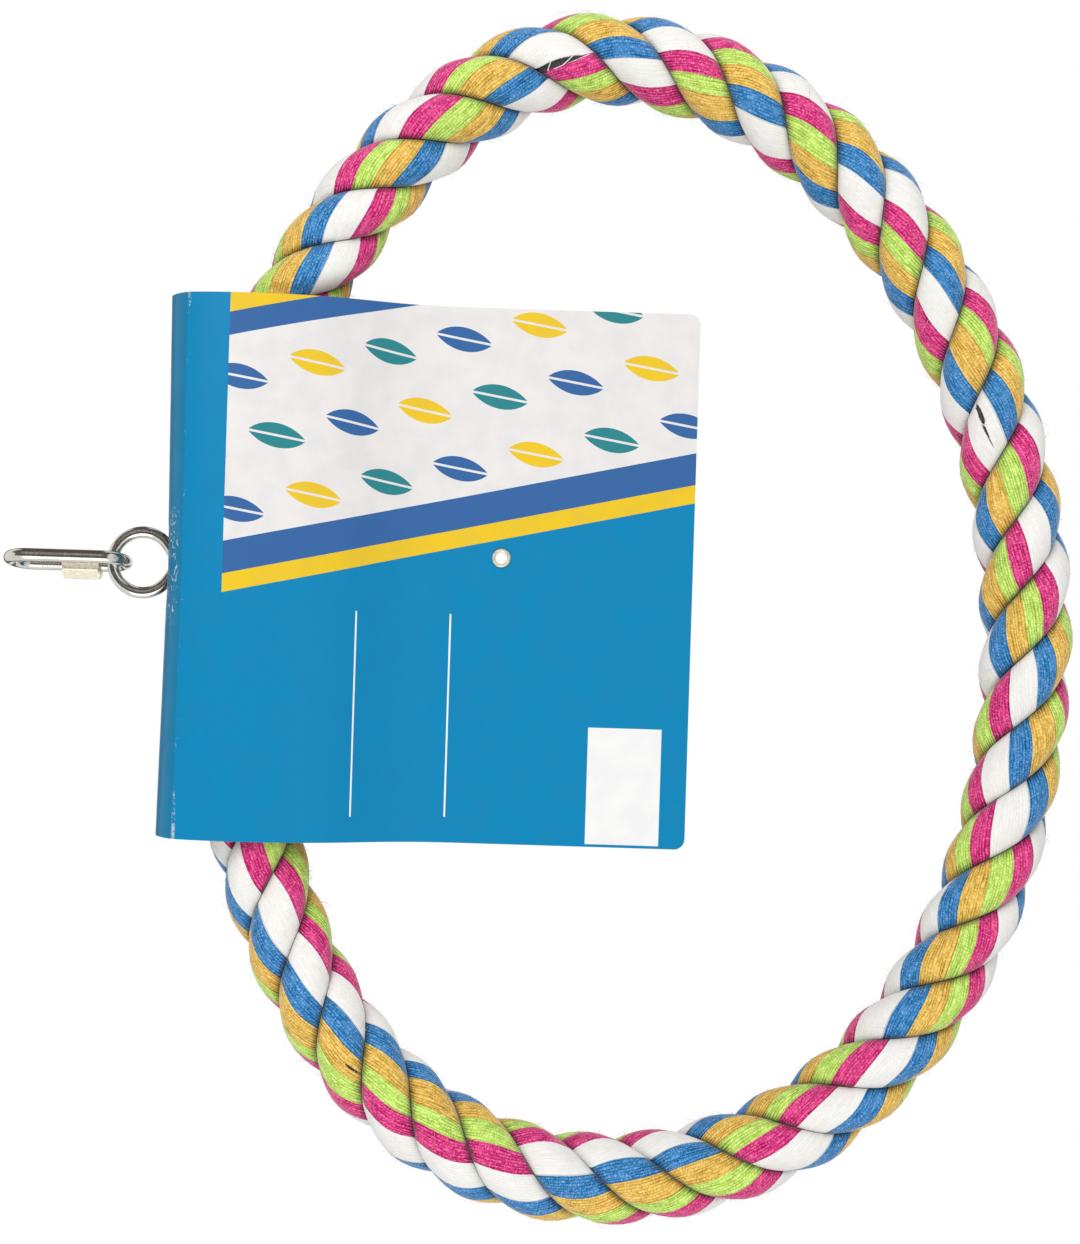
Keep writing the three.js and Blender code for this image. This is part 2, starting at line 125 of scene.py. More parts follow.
def colour(name, description, *screen):
    """A property that holds a colour, given as screen values to 255 and kept as linear values to 1."""
    parts = [channel / 255 for channel in screen]
    linear = [part / 12.92 if part <= 0.04045 else ((part + 0.055) / 1.055) ** 2.4 for part in parts]
    return FloatVectorProperty(
        name=name, description=description, default=linear + [1.0], size=4, min=0, max=1, subtype="COLOR"
    )


class RingSettings(bpy.types.PropertyGroup):
    """The oval of the rope's middle line, from the hanging line and from the tube's axis."""

    right: length("Right", "From the hanging line to the widest point on the right", 0.148)
    left: length("Left", "From the hanging line to the widest point on the left", 0.172)
    drop: length("Drop", "From the tube's axis to the lowest point", 0.2245)
    right_drop: length("Right drop", "From the tube's axis down to the widest point on the right", 0.0997)
    left_drop: length("Left drop", "From the tube's axis down to the widest point on the left", 0.1047)
    bottom_shift: length("Bottom shift", "Of the lowest point, to the right", -0.0185)
    end_gap: length("End gap", "From the hanging line to each rope end", 0.007)
    reaches: figures(
        "Reaches", "Pull of the curve at both ends of each quarter, from the tube's right end round",
        0.039, 0.053, 0.065, 0.089, 0.092, 0.071, 0.067, 0.068, unit="LENGTH",
    )


EDGES = "Where white, magenta, lime, ochre and blue end on it, in stripes"


class RopeSettings(bpy.types.PropertyGroup):
    """The three strands of the rope and their coloured yarns."""

    diameter: length("Diameter", "Over the three strands", 0.026)
    lobe_radius: length("Lobe radius", "Roundness of a strand's outer face", 0.0085)
    corner_radius: length("Corner radius", "Roundness of a strand beside a crease", 0.0014)
    gap: length("Gap", "Between neighbouring strands, inside the rope", 0.0002)
    lay: length("Lay", "Length of one turn of a strand", 0.0583)
    lay_lead: length("Lay lead", "How far the strands run ahead of an even lay, halfway round", 0.0039)
    start: angle("Start", "Of the first strand at the right rope end, from outward to the back", 40.75)
    swell: length("Swell", "Height of a strand's slow swells", 0.00012)
    swell_length: length("Swell length", "From one swell of a strand to the next", 0.037)
    stripe: angle("Stripe", "Mean width of a coloured stripe on a strand's round face", 46)
    stripe_turns: figures("Stripe turns", "Turns of the stripes in one lay, by strand", 2.537, 2.626, 2.585)
    stripe_starts: figures("Stripe starts", "First stripe at the right end, by strand", 2.063, 3.155, 1.891)
    stripe_leads: figures("Stripe leads", "Stripes run ahead, halfway round, by strand", 0.45, 0.903, 0.659)
    edges_1: figures("First strand", EDGES, 1.09, 2.08, 3.05, 3.99, 4.89)
    edges_2: figures("Second strand", EDGES, 1.21, 2.10, 2.85, 3.99, 4.98)
    edges_3: figures("Third strand", EDGES, 1.32, 2.19, 2.98, 3.86, 4.84)
    yarns: IntProperty(name="Yarns", description="Yarns in a coloured stripe", default=8, min=2)
    yarn_depth: length("Yarn depth", "Of the groove between two yarns", 0.00008)
    slit_depth: length("Slit depth", "Of a place where the yarns part", 0.0009)
    fibres: IntProperty(name="Fibres", description="Loose fibres on the rope", default=2600, min=1)
    fibre_radius: length("Fibre radius", "At a loose fibre's root", 0.00004)
    yarn_radius: length("Yarn radius", "Of a single yarn that lies across a slit", 0.00016)
    yarn_sag: length("Yarn sag", "Of a single yarn into its slit", 0.0003)
    white: colour("White", "White yarn", 240, 238, 234)
    magenta: colour("Magenta", "Magenta yarn", 212, 60, 127)
    lime: colour("Lime", "Lime yarn", 189, 220, 104)
    ochre: colour("Ochre", "Ochre yarn", 223, 181, 86)
    blue: colour("Blue", "Blue yarn", 59, 127, 184)
    filler: colour("Filler", "Dark filler inside a strand", 112, 110, 108)


class HangerSettings(bpy.types.PropertyGroup):
    """The quick link, the eye bolt and the tube."""

    link_wire: length("Link wire", "Diameter of the quick link's wire", 0.0037)
    link_width: length("Link width", "Of the quick link, outside", 0.016)
    link_turn: angle("Link turn", "About the hanging line, from square to the ring", 10.2)
    gate_opening: length("Gate opening", "Between the two wire ends", 0.0052)
    gate_drop: length("Gate drop", "From the hang point to the middle of the gate", 0.0177)
    gate_chamfer: length("Gate chamfer", "At both wire ends", 0.0005)
    thread_pitch: length("Thread pitch", "Of the gate's thread", 0.0007)
    thread_depth: length("Thread depth", "Of the gate's thread", 0.00009)
    thread_upper: length("Upper thread", "Length of the thread above the gate", 0.0088)
    thread_lower: length("Lower thread", "Length of the thread below the gate", 0.0022)
    sleeve_flats: length("Sleeve flats", "Across two flats of the sleeve nut", 0.0074)
    sleeve_bore: length("Sleeve bore", "Diameter of the sleeve nut's bore", 0.0043)
    sleeve_chamfer: length("Sleeve chamfer", "At both ends of the sleeve nut", 0.0005)
    sleeve_edge: length("Sleeve edge", "Turned off the sleeve nut's six edges", 0.00009)
    bore_chamfer: length("Bore chamfer", "At both ends of the sleeve nut's bore", 0.0004)
    eye_wire: length("Eye wire", "Diameter of the eye bolt's wire", 0.0033)
    eye_outer: length("Eye outer", "Diameter of the eye, outside", 0.0206)
    eye_tip: angle("Eye tip", "From the shank's line to each straight side of the eye's tip", 56)
    eye_neck: length("Eye neck", "Radius of the bend from the shank into the eye", 0.0022)
    eye_end_gap: length("Eye end gap", "From the end of the eye's wire to its shank", 0.00035)
    eye_end_chamfer: length("Eye end chamfer", "At both ends of the eye's wire", 0.0003)
    tube_wall: length("Tube wall", "Of the plastic tube", 0.0024)
    tube_rim: length("Tube rim", "Length of the rounding at the tube's ends", 0.0006)
    tube_rounding: length("Tube rounding", "Depth of the rounding at the tube's ends", 0.0004)
    shank_hole: length("Shank hole", "Radius of the hole in the tube", 0.00195)
    zinc: colour("Zinc", "Bright plated wire", 213, 210, 203)
    nickel: colour("Nickel", "Satin plated sleeve nut", 243, 236, 214)
    plastic: colour("Plastic", "White tube", 240, 239, 234)
    tape: colour("Tape", "Cloth tape on the rope ends", 48, 48, 51)


class CardSettings(bpy.types.PropertyGroup):
    """The folded display card and its eyelet."""

    thickness: length("Thickness", "Of the card", 0.00045)
    corner: length("Corner", "Radius of the free corners", 0.003)
    spine_width: length("Spine width", "Between the two creases", 0.030)
    spine_rise: length("Spine rise", "From the creases to the fold's top", 0.0069)
    crease_width: length("Crease width", "To each side of a crease's line", 0.0005)
    tube_gap: length("Tube gap", "Between the tube and the card", 0.0003)
    panel_gap: length("Panel gap", "Between the panels where the eyelet holds them", 0.0005)
    pinch_drop: length("Pinch drop", "From the fold to where the panels meet", 0.087)
    hug_reach: length("Hug reach", "Pull of the panel's curve below the tube", 0.036)
    pinch_reach: length("Pinch reach", "Pull of the panel's curve above the eyelet", 0.030)
    slot_half_length: length("Slot half length", "Of the slot for the eye", 0.014)
    slot_half_width: length("Slot half width", "Of the slot for the eye", 0.006)
    fold_sag: length("Fold sag", "Of the fold's middle, where the hanger has pressed it down", 0.0012)
    spine_fade: length("Spine fade", "From a crease to where the sag and the plain spine end", 0.012)
    eyelet_hole: length("Eyelet hole", "Diameter of the eyelet's hole", 0.0034)
    eyelet_wall: length("Eyelet wall", "Of the eyelet's barrel", 0.00035)
    eyelet_flange: length("Eyelet flange", "Diameter of the eyelet's rolled flange", 0.0054)
    cell: length("Cell", "Size of a cell of the card's surface", 0.0044 / 3)
    field: colour("Field", "Printed ground", 10, 131, 181)
    royal: colour("Royal blue", "Darker printed bands", 56, 101, 160)
    yellow: colour("Yellow", "Yellow printed bands", 233, 195, 40)
    pale: colour("Pale", "Pale printed panel", 228, 225, 223)
    leaf: colour("Leaf", "Printed leaves", 47, 132, 138)
    board: colour("Board", "Bare board at the edges and inside", 226, 223, 216)


class StageSettings(bpy.types.PropertyGroup):
    """The camera, the light and the floor."""

    distance: length("Distance", "From the camera to the ring's plane", 0.65)
    centre_x: length("Centre X", "Of the picture, on the ring's plane", -0.0135)
    centre_z: length("Centre Z", "Of the picture, on the ring's plane", -0.1501)
    roll: angle("Roll", "Of the picture, from the hanger pointing straight left", 1.79)
    picture_height: length("Picture height", "On the ring's plane", 0.3558)
    flag_reach: length("Flag reach", "From the hang point to the dark flags", 1.2)
    floor_drop: length("Floor drop", "From the hang point to the floor", 0.46)
    floor_radius: length("Floor radius", "Of the pale floor", 2.5)
    floor: colour("Floor", "Pale floor", 240, 240, 240)


# Arrays and meshes


def grid_quads(rows, columns, wrap_rows=False, wrap_columns=False):
    """Quads between neighbouring rows and columns of points stored by rows; wrapping joins last to first."""
    row = np.arange(rows if wrap_rows else rows - 1)[:, None]
    column = np.arange(columns if wrap_columns else columns - 1)
    next_row, next_column = (row + 1) % rows, (column + 1) % columns
    corners = ((row, column), (row, next_column), (next_row, next_column), (next_row, column))
    return np.stack([at_row * columns + at_column for at_row, at_column in corners], axis=-1).reshape(-1, 4)


def new_piece(name, points, quads, polygons=(), uv=None, crease=None, sharp=None):
    """A smooth mesh object of these points, quads and polygons, with edges sharp from an angle in degrees.

    For each point, uv holds two numbers of the surface map, and crease holds how deep in a crease it lies.
    """
    mesh = bpy.data.meshes.new(name)
    corners = np.concatenate([quads.ravel(), *polygons]).astype(np.int32)
    sizes = np.array([4] * len(quads) + [len(polygon) for polygon in polygons], dtype=np.int32)
    mesh.vertices.add(len(points))
    mesh.vertices.foreach_set("co", points.astype(np.float32).ravel())
    mesh.loops.add(len(corners))
    mesh.loops.foreach_set("vertex_index", corners)
    mesh.polygons.add(len(sizes))
    mesh.polygons.foreach_set("loop_start", (np.cumsum(sizes) - sizes).astype(np.int32))
    mesh.polygons.foreach_set("use_smooth", np.ones(len(sizes), dtype=bool))
    mesh.update(calc_edges=True)
    if uv is not None:
        layer = mesh.uv_layers.new(name="surface")
        layer.data.foreach_set("uv", uv[corners].astype(np.float32).ravel())
    if crease is not None:
        layer = mesh.attributes.new("crease", "FLOAT", "POINT")
        layer.data.foreach_set("value", crease.astype(np.float32))
    if sharp is not None:
        mesh.set_sharp_from_angle(angle=math.radians(sharp))
    piece = bpy.data.objects.new(name, mesh)
    bpy.context.scene.collection.objects.link(piece)
    return piece


def settle(piece, body, slot, nodes, *materials):
    """Gives a piece its materials and its body, and hides the nodes of the frame that it stands for; the slot
    is not used.
    """
    for material in materials:
        piece.data.materials.append(material)
    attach(piece, body)
    if nodes:
        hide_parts(*nodes)


def finish_nodes(material, *nodes):
    """Gives nodes of the frame that stay in view a material in place of their own."""
    for node in nodes:
        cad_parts[node].data.materials.clear()
        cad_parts[node].data.materials.append(material)


def full_turn(sides):
    """Even angles of a full turn."""
    return np.arange(sides) * 2 * math.pi / sides


def run_length(line):
    """Distance along a flat line of points, from 0 at the first."""
    return np.concatenate([[0], np.cumsum(np.hypot(*np.diff(line, axis=0).T))])


def bezier(points, steps):
    """Points of a cubic curve from the first point towards the second, and from the third to the last."""
    t = np.linspace(0, 1, steps + 1)[:, None]
    a, b, c, d = (np.array(point) for point in points)
    return (1 - t) ** 3 * a + 3 * (1 - t) ** 2 * t * b + 3 * (1 - t) * t ** 2 * c + t ** 3 * d


def tubes(paths, radius, sides, side=None):
    """Round wires along paths of as many points each: circles square to each path, closed by flat ends.

    Each circle lies in the plane of side, which is square to the path, and of the normal to both. The radius
    is given by point, or by point and side. With no side given, it is square to a slanted direction too.
    """
    count, steps = paths.shape[:2]
    tangent = np.gradient(paths, axis=1)
    tangent /= np.linalg.norm(tangent, axis=2, keepdims=True)
    if side is None:
        side = np.cross(tangent, np.array([0.36, -0.48, 0.8]))
        side /= np.linalg.norm(side, axis=2, keepdims=True)
    side = np.broadcast_to(side, paths.shape)
    turn = full_turn(sides)[:, None]
    circle = np.cross(side, tangent)[:, :, None] * np.cos(turn) + side[:, :, None] * np.sin(turn)
    points = paths[:, :, None] + circle * np.broadcast_to(radius, (steps, sides))[..., None]
    begin = steps * sides * np.arange(count)[:, None, None]
    quads = grid_quads(steps, sides, wrap_columns=True) + begin
    ends = np.stack([np.arange(sides)[::-1], (steps - 1) * sides + np.arange(sides)]) + begin
    return points.reshape(-1, 3), quads.reshape(-1, 4), list(ends.reshape(-1, sides))


def shell(outer, inner, quads):
    """A closed wall between two like-numbered surfaces: both faces, and a strip along every open edge."""
    count = len(outer)
    starts = quads.ravel()
    ends = np.roll(quads, -1, axis=1).ravel()
    is_open = ~np.isin(starts * count + ends, ends * count + starts)
    a, b = starts[is_open], ends[is_open]
    rim = np.stack([b, a, a + count, b + count], axis=1)
    faces = (quads, quads[:, ::-1] + count, rim)
    kinds = np.repeat([0, 1, 2], [len(group) for group in faces])
    return np.concatenate([outer, inner]), np.concatenate(faces), kinds


def draw_in(x, y, centre, reach, inner_share, straight, radius):
    """Draws a rectangle of grid points in to a hole with round ends.

    A point's share is how far out it lies, from 0 at the hole's centre to 1 on the rectangle. At the inner
    share it goes to the hole's outline, at 1 it stays, and between them it moves in proportion. The outline
    is at the radius from a straight line of half length straight. Returns the new points and their shares.
    """
    tiny = 1e-9
    across = (x - centre[0]) / reach[0]
    along = (y - centre[1]) / reach[1]
    share = np.maximum(np.abs(across), np.abs(along))
    safe = np.maximum(share, tiny)
    rim_x = across / safe * (straight + radius)
    rim_y = along / safe * radius
    end_x = np.clip(rim_x, -straight, straight)
    from_end = np.maximum(np.hypot(rim_x - end_x, rim_y), tiny)
    rim_x = end_x + (rim_x - end_x) * radius / from_end
    rim_y = rim_y * radius / from_end
    move = np.clip((share - inner_share) / (1 - inner_share), 0, 1)
    new_x = centre[0] + rim_x * (1 - move) + across / safe * reach[0] * move
    new_y = centre[1] + rim_y * (1 - move) + along / safe * reach[1] * move
    drawn = (share < 1) & (share > inner_share - 1e-6)
    return np.where(drawn, new_x, x), np.where(drawn, new_y, y), share


# Rope


class RopeRoute:
    """The rope's middle line in the plane of the ring, measured by its length from the right rope end."""

    def __init__(self, ring):
        """Two straight ends in the tube and four curves: to the right, the bottom, the left and back."""
        tube_x = TUBE_HIGH.x
        ends = np.array([
            (tube_x, 0), (ring.right, -ring.right_drop), (ring.bottom_shift, -ring.drop),
            (-ring.left, -ring.left_drop), (-tube_x, 0),
        ]) + (0, TUBE_Z)
        headings = np.array([(1, 0), (0, -1), (-1, 0), (0, 1), (1, 0)])
        reaches = np.reshape(tuple(ring.reaches), (4, 2, 1))
        leaving = ends[:-1] + headings[:-1] * reaches[:, 0]
        arriving = ends[1:] - headings[1:] * reaches[:, 1]
        curves = [bezier(points, 600)[:-1] for points in zip(ends[:-1], leaving, arriving, ends[1:])]
        in_tube = np.linspace(ring.end_gap, tube_x, 60)[:-1]
        right_end = np.stack([in_tube, np.full_like(in_tube, TUBE_Z)], axis=1)
        self.line = np.concatenate([right_end, *curves, ends[-1:], right_end[::-1] * (-1, 1)])
        self.distance = run_length(self.line)
        self.length = self.distance[-1]
        slope = np.gradient(self.line, self.distance, axis=0)
        self.heading = np.unwrap(np.arctan2(slope[:, 1], slope[:, 0]))

    def at(self, distance):
        """The middle points and the outward directions at these distances."""
        x, z, heading = (np.interp(distance, self.distance, row) for row in (*self.line.T, self.heading))
        flat = np.zeros_like(x)
        return np.stack([x, flat, z], axis=-1), np.stack([-np.sin(heading), flat, np.cos(heading)], axis=-1)

    def halfway(self, distance):
        """From 0 at both rope ends to 1 halfway round."""
        return np.sin(math.pi * distance / self.length) ** 2


class StrandShape:
    """One strand: a section with a round outer face and two flats, turned about the rope's middle line."""

    def __init__(self, rope, route, strand):
        self.rope = rope
        self.route = route
        self.strand = strand
        self.lobe_offset = rope.diameter / 2 - rope.lobe_radius
        self.corner_offset = rope.lobe_radius - rope.corner_radius
        inset = rope.corner_radius + rope.gap / 2
        turn = math.acos((inset - self.lobe_offset * math.sin(FLAT_ANGLE)) / self.corner_offset)
        self.corner_start = turn + FLAT_ANGLE - math.pi / 2
        corner_end = FLAT_ANGLE + math.pi / 2
        self.stripe_width = rope.lobe_radius * rope.stripe
        self.round_part = rope.lobe_radius * self.corner_start
        self.corner_part = rope.corner_radius * (corner_end - self.corner_start)

    def turn(self, distance):
        """Angle of the strand's middle from outward to front: even turns, a little ahead halfway round."""
        laid = distance + self.rope.lay_lead * self.route.halfway(distance)
        return 2 * math.pi * (laid / self.rope.lay - self.strand / STRANDS) - self.rope.start

    def stripe_at_middle(self, distance):
        """Number of the stripe on the strand's middle line: it grows evenly, a little ahead halfway round."""
        rate = STRIPES * self.rope.stripe_turns[self.strand] / self.rope.lay
        lead = self.rope.stripe_leads[self.strand] * self.route.halfway(distance)
        return rate * distance + self.rope.stripe_starts[self.strand] + lead

    def outline(self, across):
        """Section points and outward directions at a distance in stripes from the strand's middle.

        It runs round the outer face, then the corner, then straight along the flat to the rope's middle.
        """
        run = np.abs(across) * self.stripe_width
        round_angle = np.minimum(run, self.round_part) / self.rope.lobe_radius
        corner_run = np.clip(run - self.round_part, 0, self.corner_part)
        facing = round_angle + corner_run / self.rope.corner_radius
        flat_run = np.maximum(run - self.round_part - self.corner_part, 0)
        on_corner = run > self.round_part
        centre_x = self.lobe_offset + on_corner * self.corner_offset * math.cos(self.corner_start)
        centre_y = on_corner * self.corner_offset * math.sin(self.corner_start)
        radius = np.where(on_corner, self.rope.corner_radius, self.rope.lobe_radius)
        x = centre_x + radius * np.cos(facing) - flat_run * math.cos(FLAT_ANGLE)
        y = centre_y + radius * np.sin(facing) - flat_run * math.sin(FLAT_ANGLE)
        return x, y * np.sign(across), np.cos(facing), np.sin(facing) * np.sign(across)

    def place(self, distance, x, y):
        """Points of the section, turned with the strand and carried along the rope's middle line."""
        middle, outward = self.route.at(distance)
        turn = self.turn(distance)
        out = x * np.cos(turn) - y * np.sin(turn)
        front = x * np.sin(turn) + y * np.cos(turn)
        return middle + outward * out[..., None] + FRONT * front[..., None]

    def on_face(self, distance, across, height):
        """Points at a height over the section's outline."""
        x, y, facing_x, facing_y = self.outline(across)
        return self.place(distance, x + facing_x * height, y + facing_y * height)


def strand_piece(rope, route, strand):
    """One strand as a band of yarns that runs round it like a screw.

    A row of points follows one line of yarn from the crease where it comes up to the crease where it goes
    under. Stripe number minus place across gives the distance along the rope, so each row slants as the yarns
    do. The crease where a row goes under meets the crease where a later row comes up, at the same distance;
    two flats inside the rope close the strand between them.
    """
    shape = StrandShape(rope, route, strand)
    rows_per_stripe = rope.yarns * ROWS_PER_YARN
    visible = (shape.round_part + shape.corner_part) / shape.stripe_width
    turn_rows = round(2 * visible * rows_per_stripe)
    half = turn_rows / rows_per_stripe / 2
    table = np.linspace(0, route.length, 6000)
    numbers = shape.stripe_at_middle(table)
    first = math.ceil((numbers[0] - half) * rope.yarns)
    last = math.floor((numbers[-1] + half) * rope.yarns)
    stripe = np.arange(first * ROWS_PER_YARN, last * ROWS_PER_YARN + 1) / rows_per_stripe
    rows = len(stripe)
    share = (1 - np.concatenate([COLUMN_PLACES[::-1], -COLUMN_PLACES])) / 2
    columns = len(share)
    least = 0.01  # width that is left of a row at a rope end
    high = np.clip(stripe - numbers[0], least - half, half)[:, None]
    low = np.clip(stripe - numbers[-1], -half, half - least)[:, None]
    across = high + (low - high) * share
    stripe_grid = np.broadcast_to(stripe[:, None], across.shape)
    distance = np.interp(stripe_grid - across, numbers, table)

    # Yarn grooves, a slow swell of the strand, and slits that sink below the yarns
    groove = np.where(np.arange(rows) % ROWS_PER_YARN == 0, -2 / 3, 1 / 3)[:, None] * rope.yarn_depth
    phase = 2.1 * strand  # so that the swells of the three strands differ
    wave = np.sin(distance * 2 * math.pi / rope.swell_length + phase) * np.cos(across * 1.1)
    sunk = np.zeros_like(across)
    for slit_strand, slit_stripe, slit_distance, half_length, half_width in SLITS:
        if slit_strand == strand:
            along = (distance - slit_distance) / half_length
            beside = (stripe_grid - slit_stripe) / half_width
            sunk = np.maximum(sunk, 1 - along ** 2 - beside ** 2)
    height = groove + rope.swell * wave - rope.slit_depth * np.minimum(2 * sunk, 1)
    face = shape.on_face(distance, across, height)

    # Inner edges of the two flats: a little out from the rope's middle, and to both sides of it
    inner_out, inner_side = 0.0009, 0.0011
    inner_rows = rows - turn_rows
    inner_distance = distance[:inner_rows, -1]
    inner_x = np.full_like(inner_distance, inner_out)
    inner_y = np.full_like(inner_distance, inner_side)
    inner = np.stack([shape.place(inner_distance, inner_x, side * inner_y) for side in (-1, 1)], axis=1)
    points = np.concatenate([face.reshape(-1, 3), inner.reshape(-1, 3)])
    start = rows * columns
    went_under = np.arange(inner_rows) * columns + columns - 1
    came_up = np.arange(turn_rows, rows) * columns
    left = start + np.arange(inner_rows) * 2
    ring = np.stack([went_under, left, left + 1, came_up], axis=1)
    inner_quads = [
        np.stack([ring[:-1, side], ring[1:, side], ring[1:, side + 1], ring[:-1, side + 1]], axis=1)
        for side in range(3)
    ]
    quads = np.concatenate([grid_quads(rows, columns)[:, ::-1], *inner_quads])
    near_end = np.concatenate([np.arange(turn_rows, 0, -1) * columns, np.arange(columns), ring[0, 1:3]])
    far_row = (rows - 1) * columns + np.arange(columns)
    far_side = (rows - 1 - np.arange(1, turn_rows)) * columns + columns - 1
    far_end = np.concatenate([far_row, far_side, ring[-1, :3]])[::-1]

    # The surface map holds distance and stripe number; the crease value grows to 1 towards both creases
    uv = np.concatenate([
        np.stack([distance.ravel(), stripe_grid.ravel()], axis=1),
        np.stack([inner_distance, stripe[:inner_rows]], axis=1).repeat(2, axis=0),
    ]) + (0, STRAND_STRIPES * strand)
    crease_reach = 0.6  # in stripes
    crease = np.ones(len(points))
    crease[:start] = np.clip((np.abs(across) - half) / crease_reach + 1, 0, 1).ravel()
    return new_piece(f"rope_strand_{strand + 1}", points, quads, [near_end, far_end], uv, crease)


def fibre_piece(rope, route):
    """Loose fibres: thin three-sided hairs that rise from a yarn and lean over along it."""
    random = np.random.default_rng(7)
    steps = np.linspace(0, 1, 4)
    sides = 3
    hairs = rope.fibres // STRANDS
    clear = 0.04  # length of each rope end that has none
    widest = 1.5  # from a strand's middle, in stripes
    shortest, longest = 0.0012, 0.0034
    paths, uvs = [], []
    for strand in range(STRANDS):
        shape = StrandShape(rope, route, strand)
        root = random.uniform(clear, route.length - clear, hairs)
        across = random.uniform(-widest, widest, hairs)
        reach = random.uniform(shortest, longest, hairs)[:, None]
        lean = random.normal(0, 0.8, hairs)[:, None]
        slant = random.normal(0, 0.5, hairs)[:, None]
        x, y, facing_x, facing_y = (value[:, None] for value in shape.outline(across))
        rise = reach * steps * (1 - 0.45 * steps)
        along = reach * lean * steps ** 1.4
        beside = reach * slant * steps ** 1.5
        middle_x = x + facing_x * rise - facing_y * beside
        middle_y = y + facing_y * rise + facing_x * beside
        paths.append(shape.place(root[:, None] + along, middle_x, middle_y))
        stripe = shape.stripe_at_middle(root) + across + STRAND_STRIPES * strand
        uvs.append(np.repeat(np.stack([root, stripe], axis=1), len(steps) * sides, axis=0))
    radius = rope.fibre_radius * (1 - 0.85 * steps)[:, None]
    points, quads, ends = tubes(np.concatenate(paths), radius, sides)
    return new_piece("rope_fibres", points, quads, ends, np.concatenate(uvs))


def crossing_yarn_piece(rope, route):
    """Single white yarns over the slits: each leaves one edge, bows to the side and meets the other edge."""
    share = np.linspace(0, 1, 15)
    bow = 4 * share * (1 - share)
    paths = []
    for slit, begin, end, first_edge, last_edge, side in CROSSINGS:
        strand, stripe, distance, half_length, half_width = SLITS[slit]
        shape = StrandShape(rope, route, strand)
        along = distance + half_length * (begin + (end - begin) * share)
        place = stripe + half_width * (first_edge + (last_edge - first_edge) * share + side * bow)
        paths.append(shape.on_face(along, place - shape.stripe_at_middle(along), -rope.yarn_sag * bow))
    sides = 6
    points, quads, ends = tubes(np.stack(paths), rope.yarn_radius, sides)
    around = np.tile(np.arange(sides) / sides, len(points) // sides)
    in_white = 0.35 + 0.3 * around  # stripe numbers inside the white stripe
    return new_piece("crossing_yarns", points, quads, ends, np.stack([points[:, 0], in_white], axis=1))


# Hanger


def link_axes(hanger):
    """Directions across the quick link's plane, and square to it."""
    turn = hanger.link_turn
    return np.array([-math.sin(turn), math.cos(turn), 0]), np.array([math.cos(turn), math.sin(turn), 0])


def thread_cut(hanger, height, sides):
    """Depth of a thread by height and side: up and down once in a pitch, and a pitch higher in a turn."""
    turns = height[:, None] / hanger.thread_pitch + np.arange(sides) / sides
    return hanger.thread_depth * np.abs(turns % 1 - 0.5) * 2


def link_piece(hanger):
    """The quick link's wire: two legs and two half circles, open at the gate and threaded at both ends."""
    bend = (hanger.link_width - hanger.link_wire) / 2
    wire = hanger.link_wire / 2
    top = LINK_HIGH.z - wire - bend
    low = LINK_LOW.z + wire + bend
    upper_end = -hanger.gate_drop + hanger.gate_opening / 2
    lower_end = -hanger.gate_drop - hanger.gate_opening / 2
    half_turn = np.linspace(0, math.pi, 49)[1:-1]
    upper_leg = np.linspace(upper_end, top, 140)
    back_leg = np.linspace(top, low, 12)
    lower_leg = np.linspace(low, lower_end, 44)
    across = bend * np.concatenate([
        np.ones(len(upper_leg)), np.cos(half_turn), -np.ones(len(back_leg)), -np.cos(half_turn),
        np.ones(len(lower_leg)),
    ])
    up = np.concatenate([
        upper_leg, top + bend * np.sin(half_turn), back_leg, low - bend * np.sin(half_turn), lower_leg
    ])
    across_axis, side = link_axes(hanger)
    path = across[:, None] * across_axis + up[:, None] * UP
    sides = 28
    on_gate = across > bend * 0.999  # on the leg that has the gate
    threaded = on_gate & (up < upper_end + hanger.thread_upper) & (up > lower_end - hanger.thread_lower)
    from_end = np.where(up > -hanger.gate_drop, up - upper_end, lower_end - up)
    chamfer = on_gate * np.maximum(hanger.gate_chamfer - from_end, 0)
    radius = wire - threaded[:, None] * thread_cut(hanger, up, sides) - chamfer[:, None]
    return new_piece("quick_link", *tubes(path[None], radius, sides, side), sharp=50)


def sleeve_piece(hanger):
    """The sleeve nut: a hexagon whose corners are turned off at both ends, with a round bore."""
    half = (NUT_HIGH.z - NUT_LOW.z) / 2
    corner = hanger.sleeve_flats / math.sqrt(3)
    sides = 96
    turn = full_turn(sides)
    flat = hanger.sleeve_flats / 2 / np.cos((turn % (math.pi / 3)) - math.pi / 6)
    shoulder = 0.0012  # a row of points just past the chamfer
    from_end = np.concatenate([np.linspace(0, hanger.sleeve_chamfer, 9), [shoulder, half]])
    cone = corner - hanger.sleeve_chamfer + from_end
    outside = np.minimum(np.minimum(flat, corner - hanger.sleeve_edge), cone[:, None])
    outer_up = np.concatenate([from_end - half, half - from_end[-2::-1]])
    chamfer = hanger.bore_chamfer
    bore = np.array([chamfer, 0, 0, chamfer]) + hanger.sleeve_bore / 2
    bore_up = np.array([half, half - chamfer, chamfer - half, -half])
    radius = np.concatenate([outside, outside[-2::-1], np.broadcast_to(bore[:, None], (4, sides))])
    up = np.concatenate([outer_up, bore_up]) + (NUT_LOW.z + NUT_HIGH.z) / 2
    across_axis, side = link_axes(hanger)
    centre = across_axis * (hanger.link_width - hanger.link_wire) / 2
    circle = np.cos(turn)[:, None] * side + np.sin(turn)[:, None] * across_axis
    points = centre + radius[..., None] * circle + up[:, None, None] * UP
    quads = grid_quads(len(up), sides, wrap_rows=True, wrap_columns=True)
    return new_piece("sleeve_nut", points.reshape(-1, 3), quads, sharp=28)


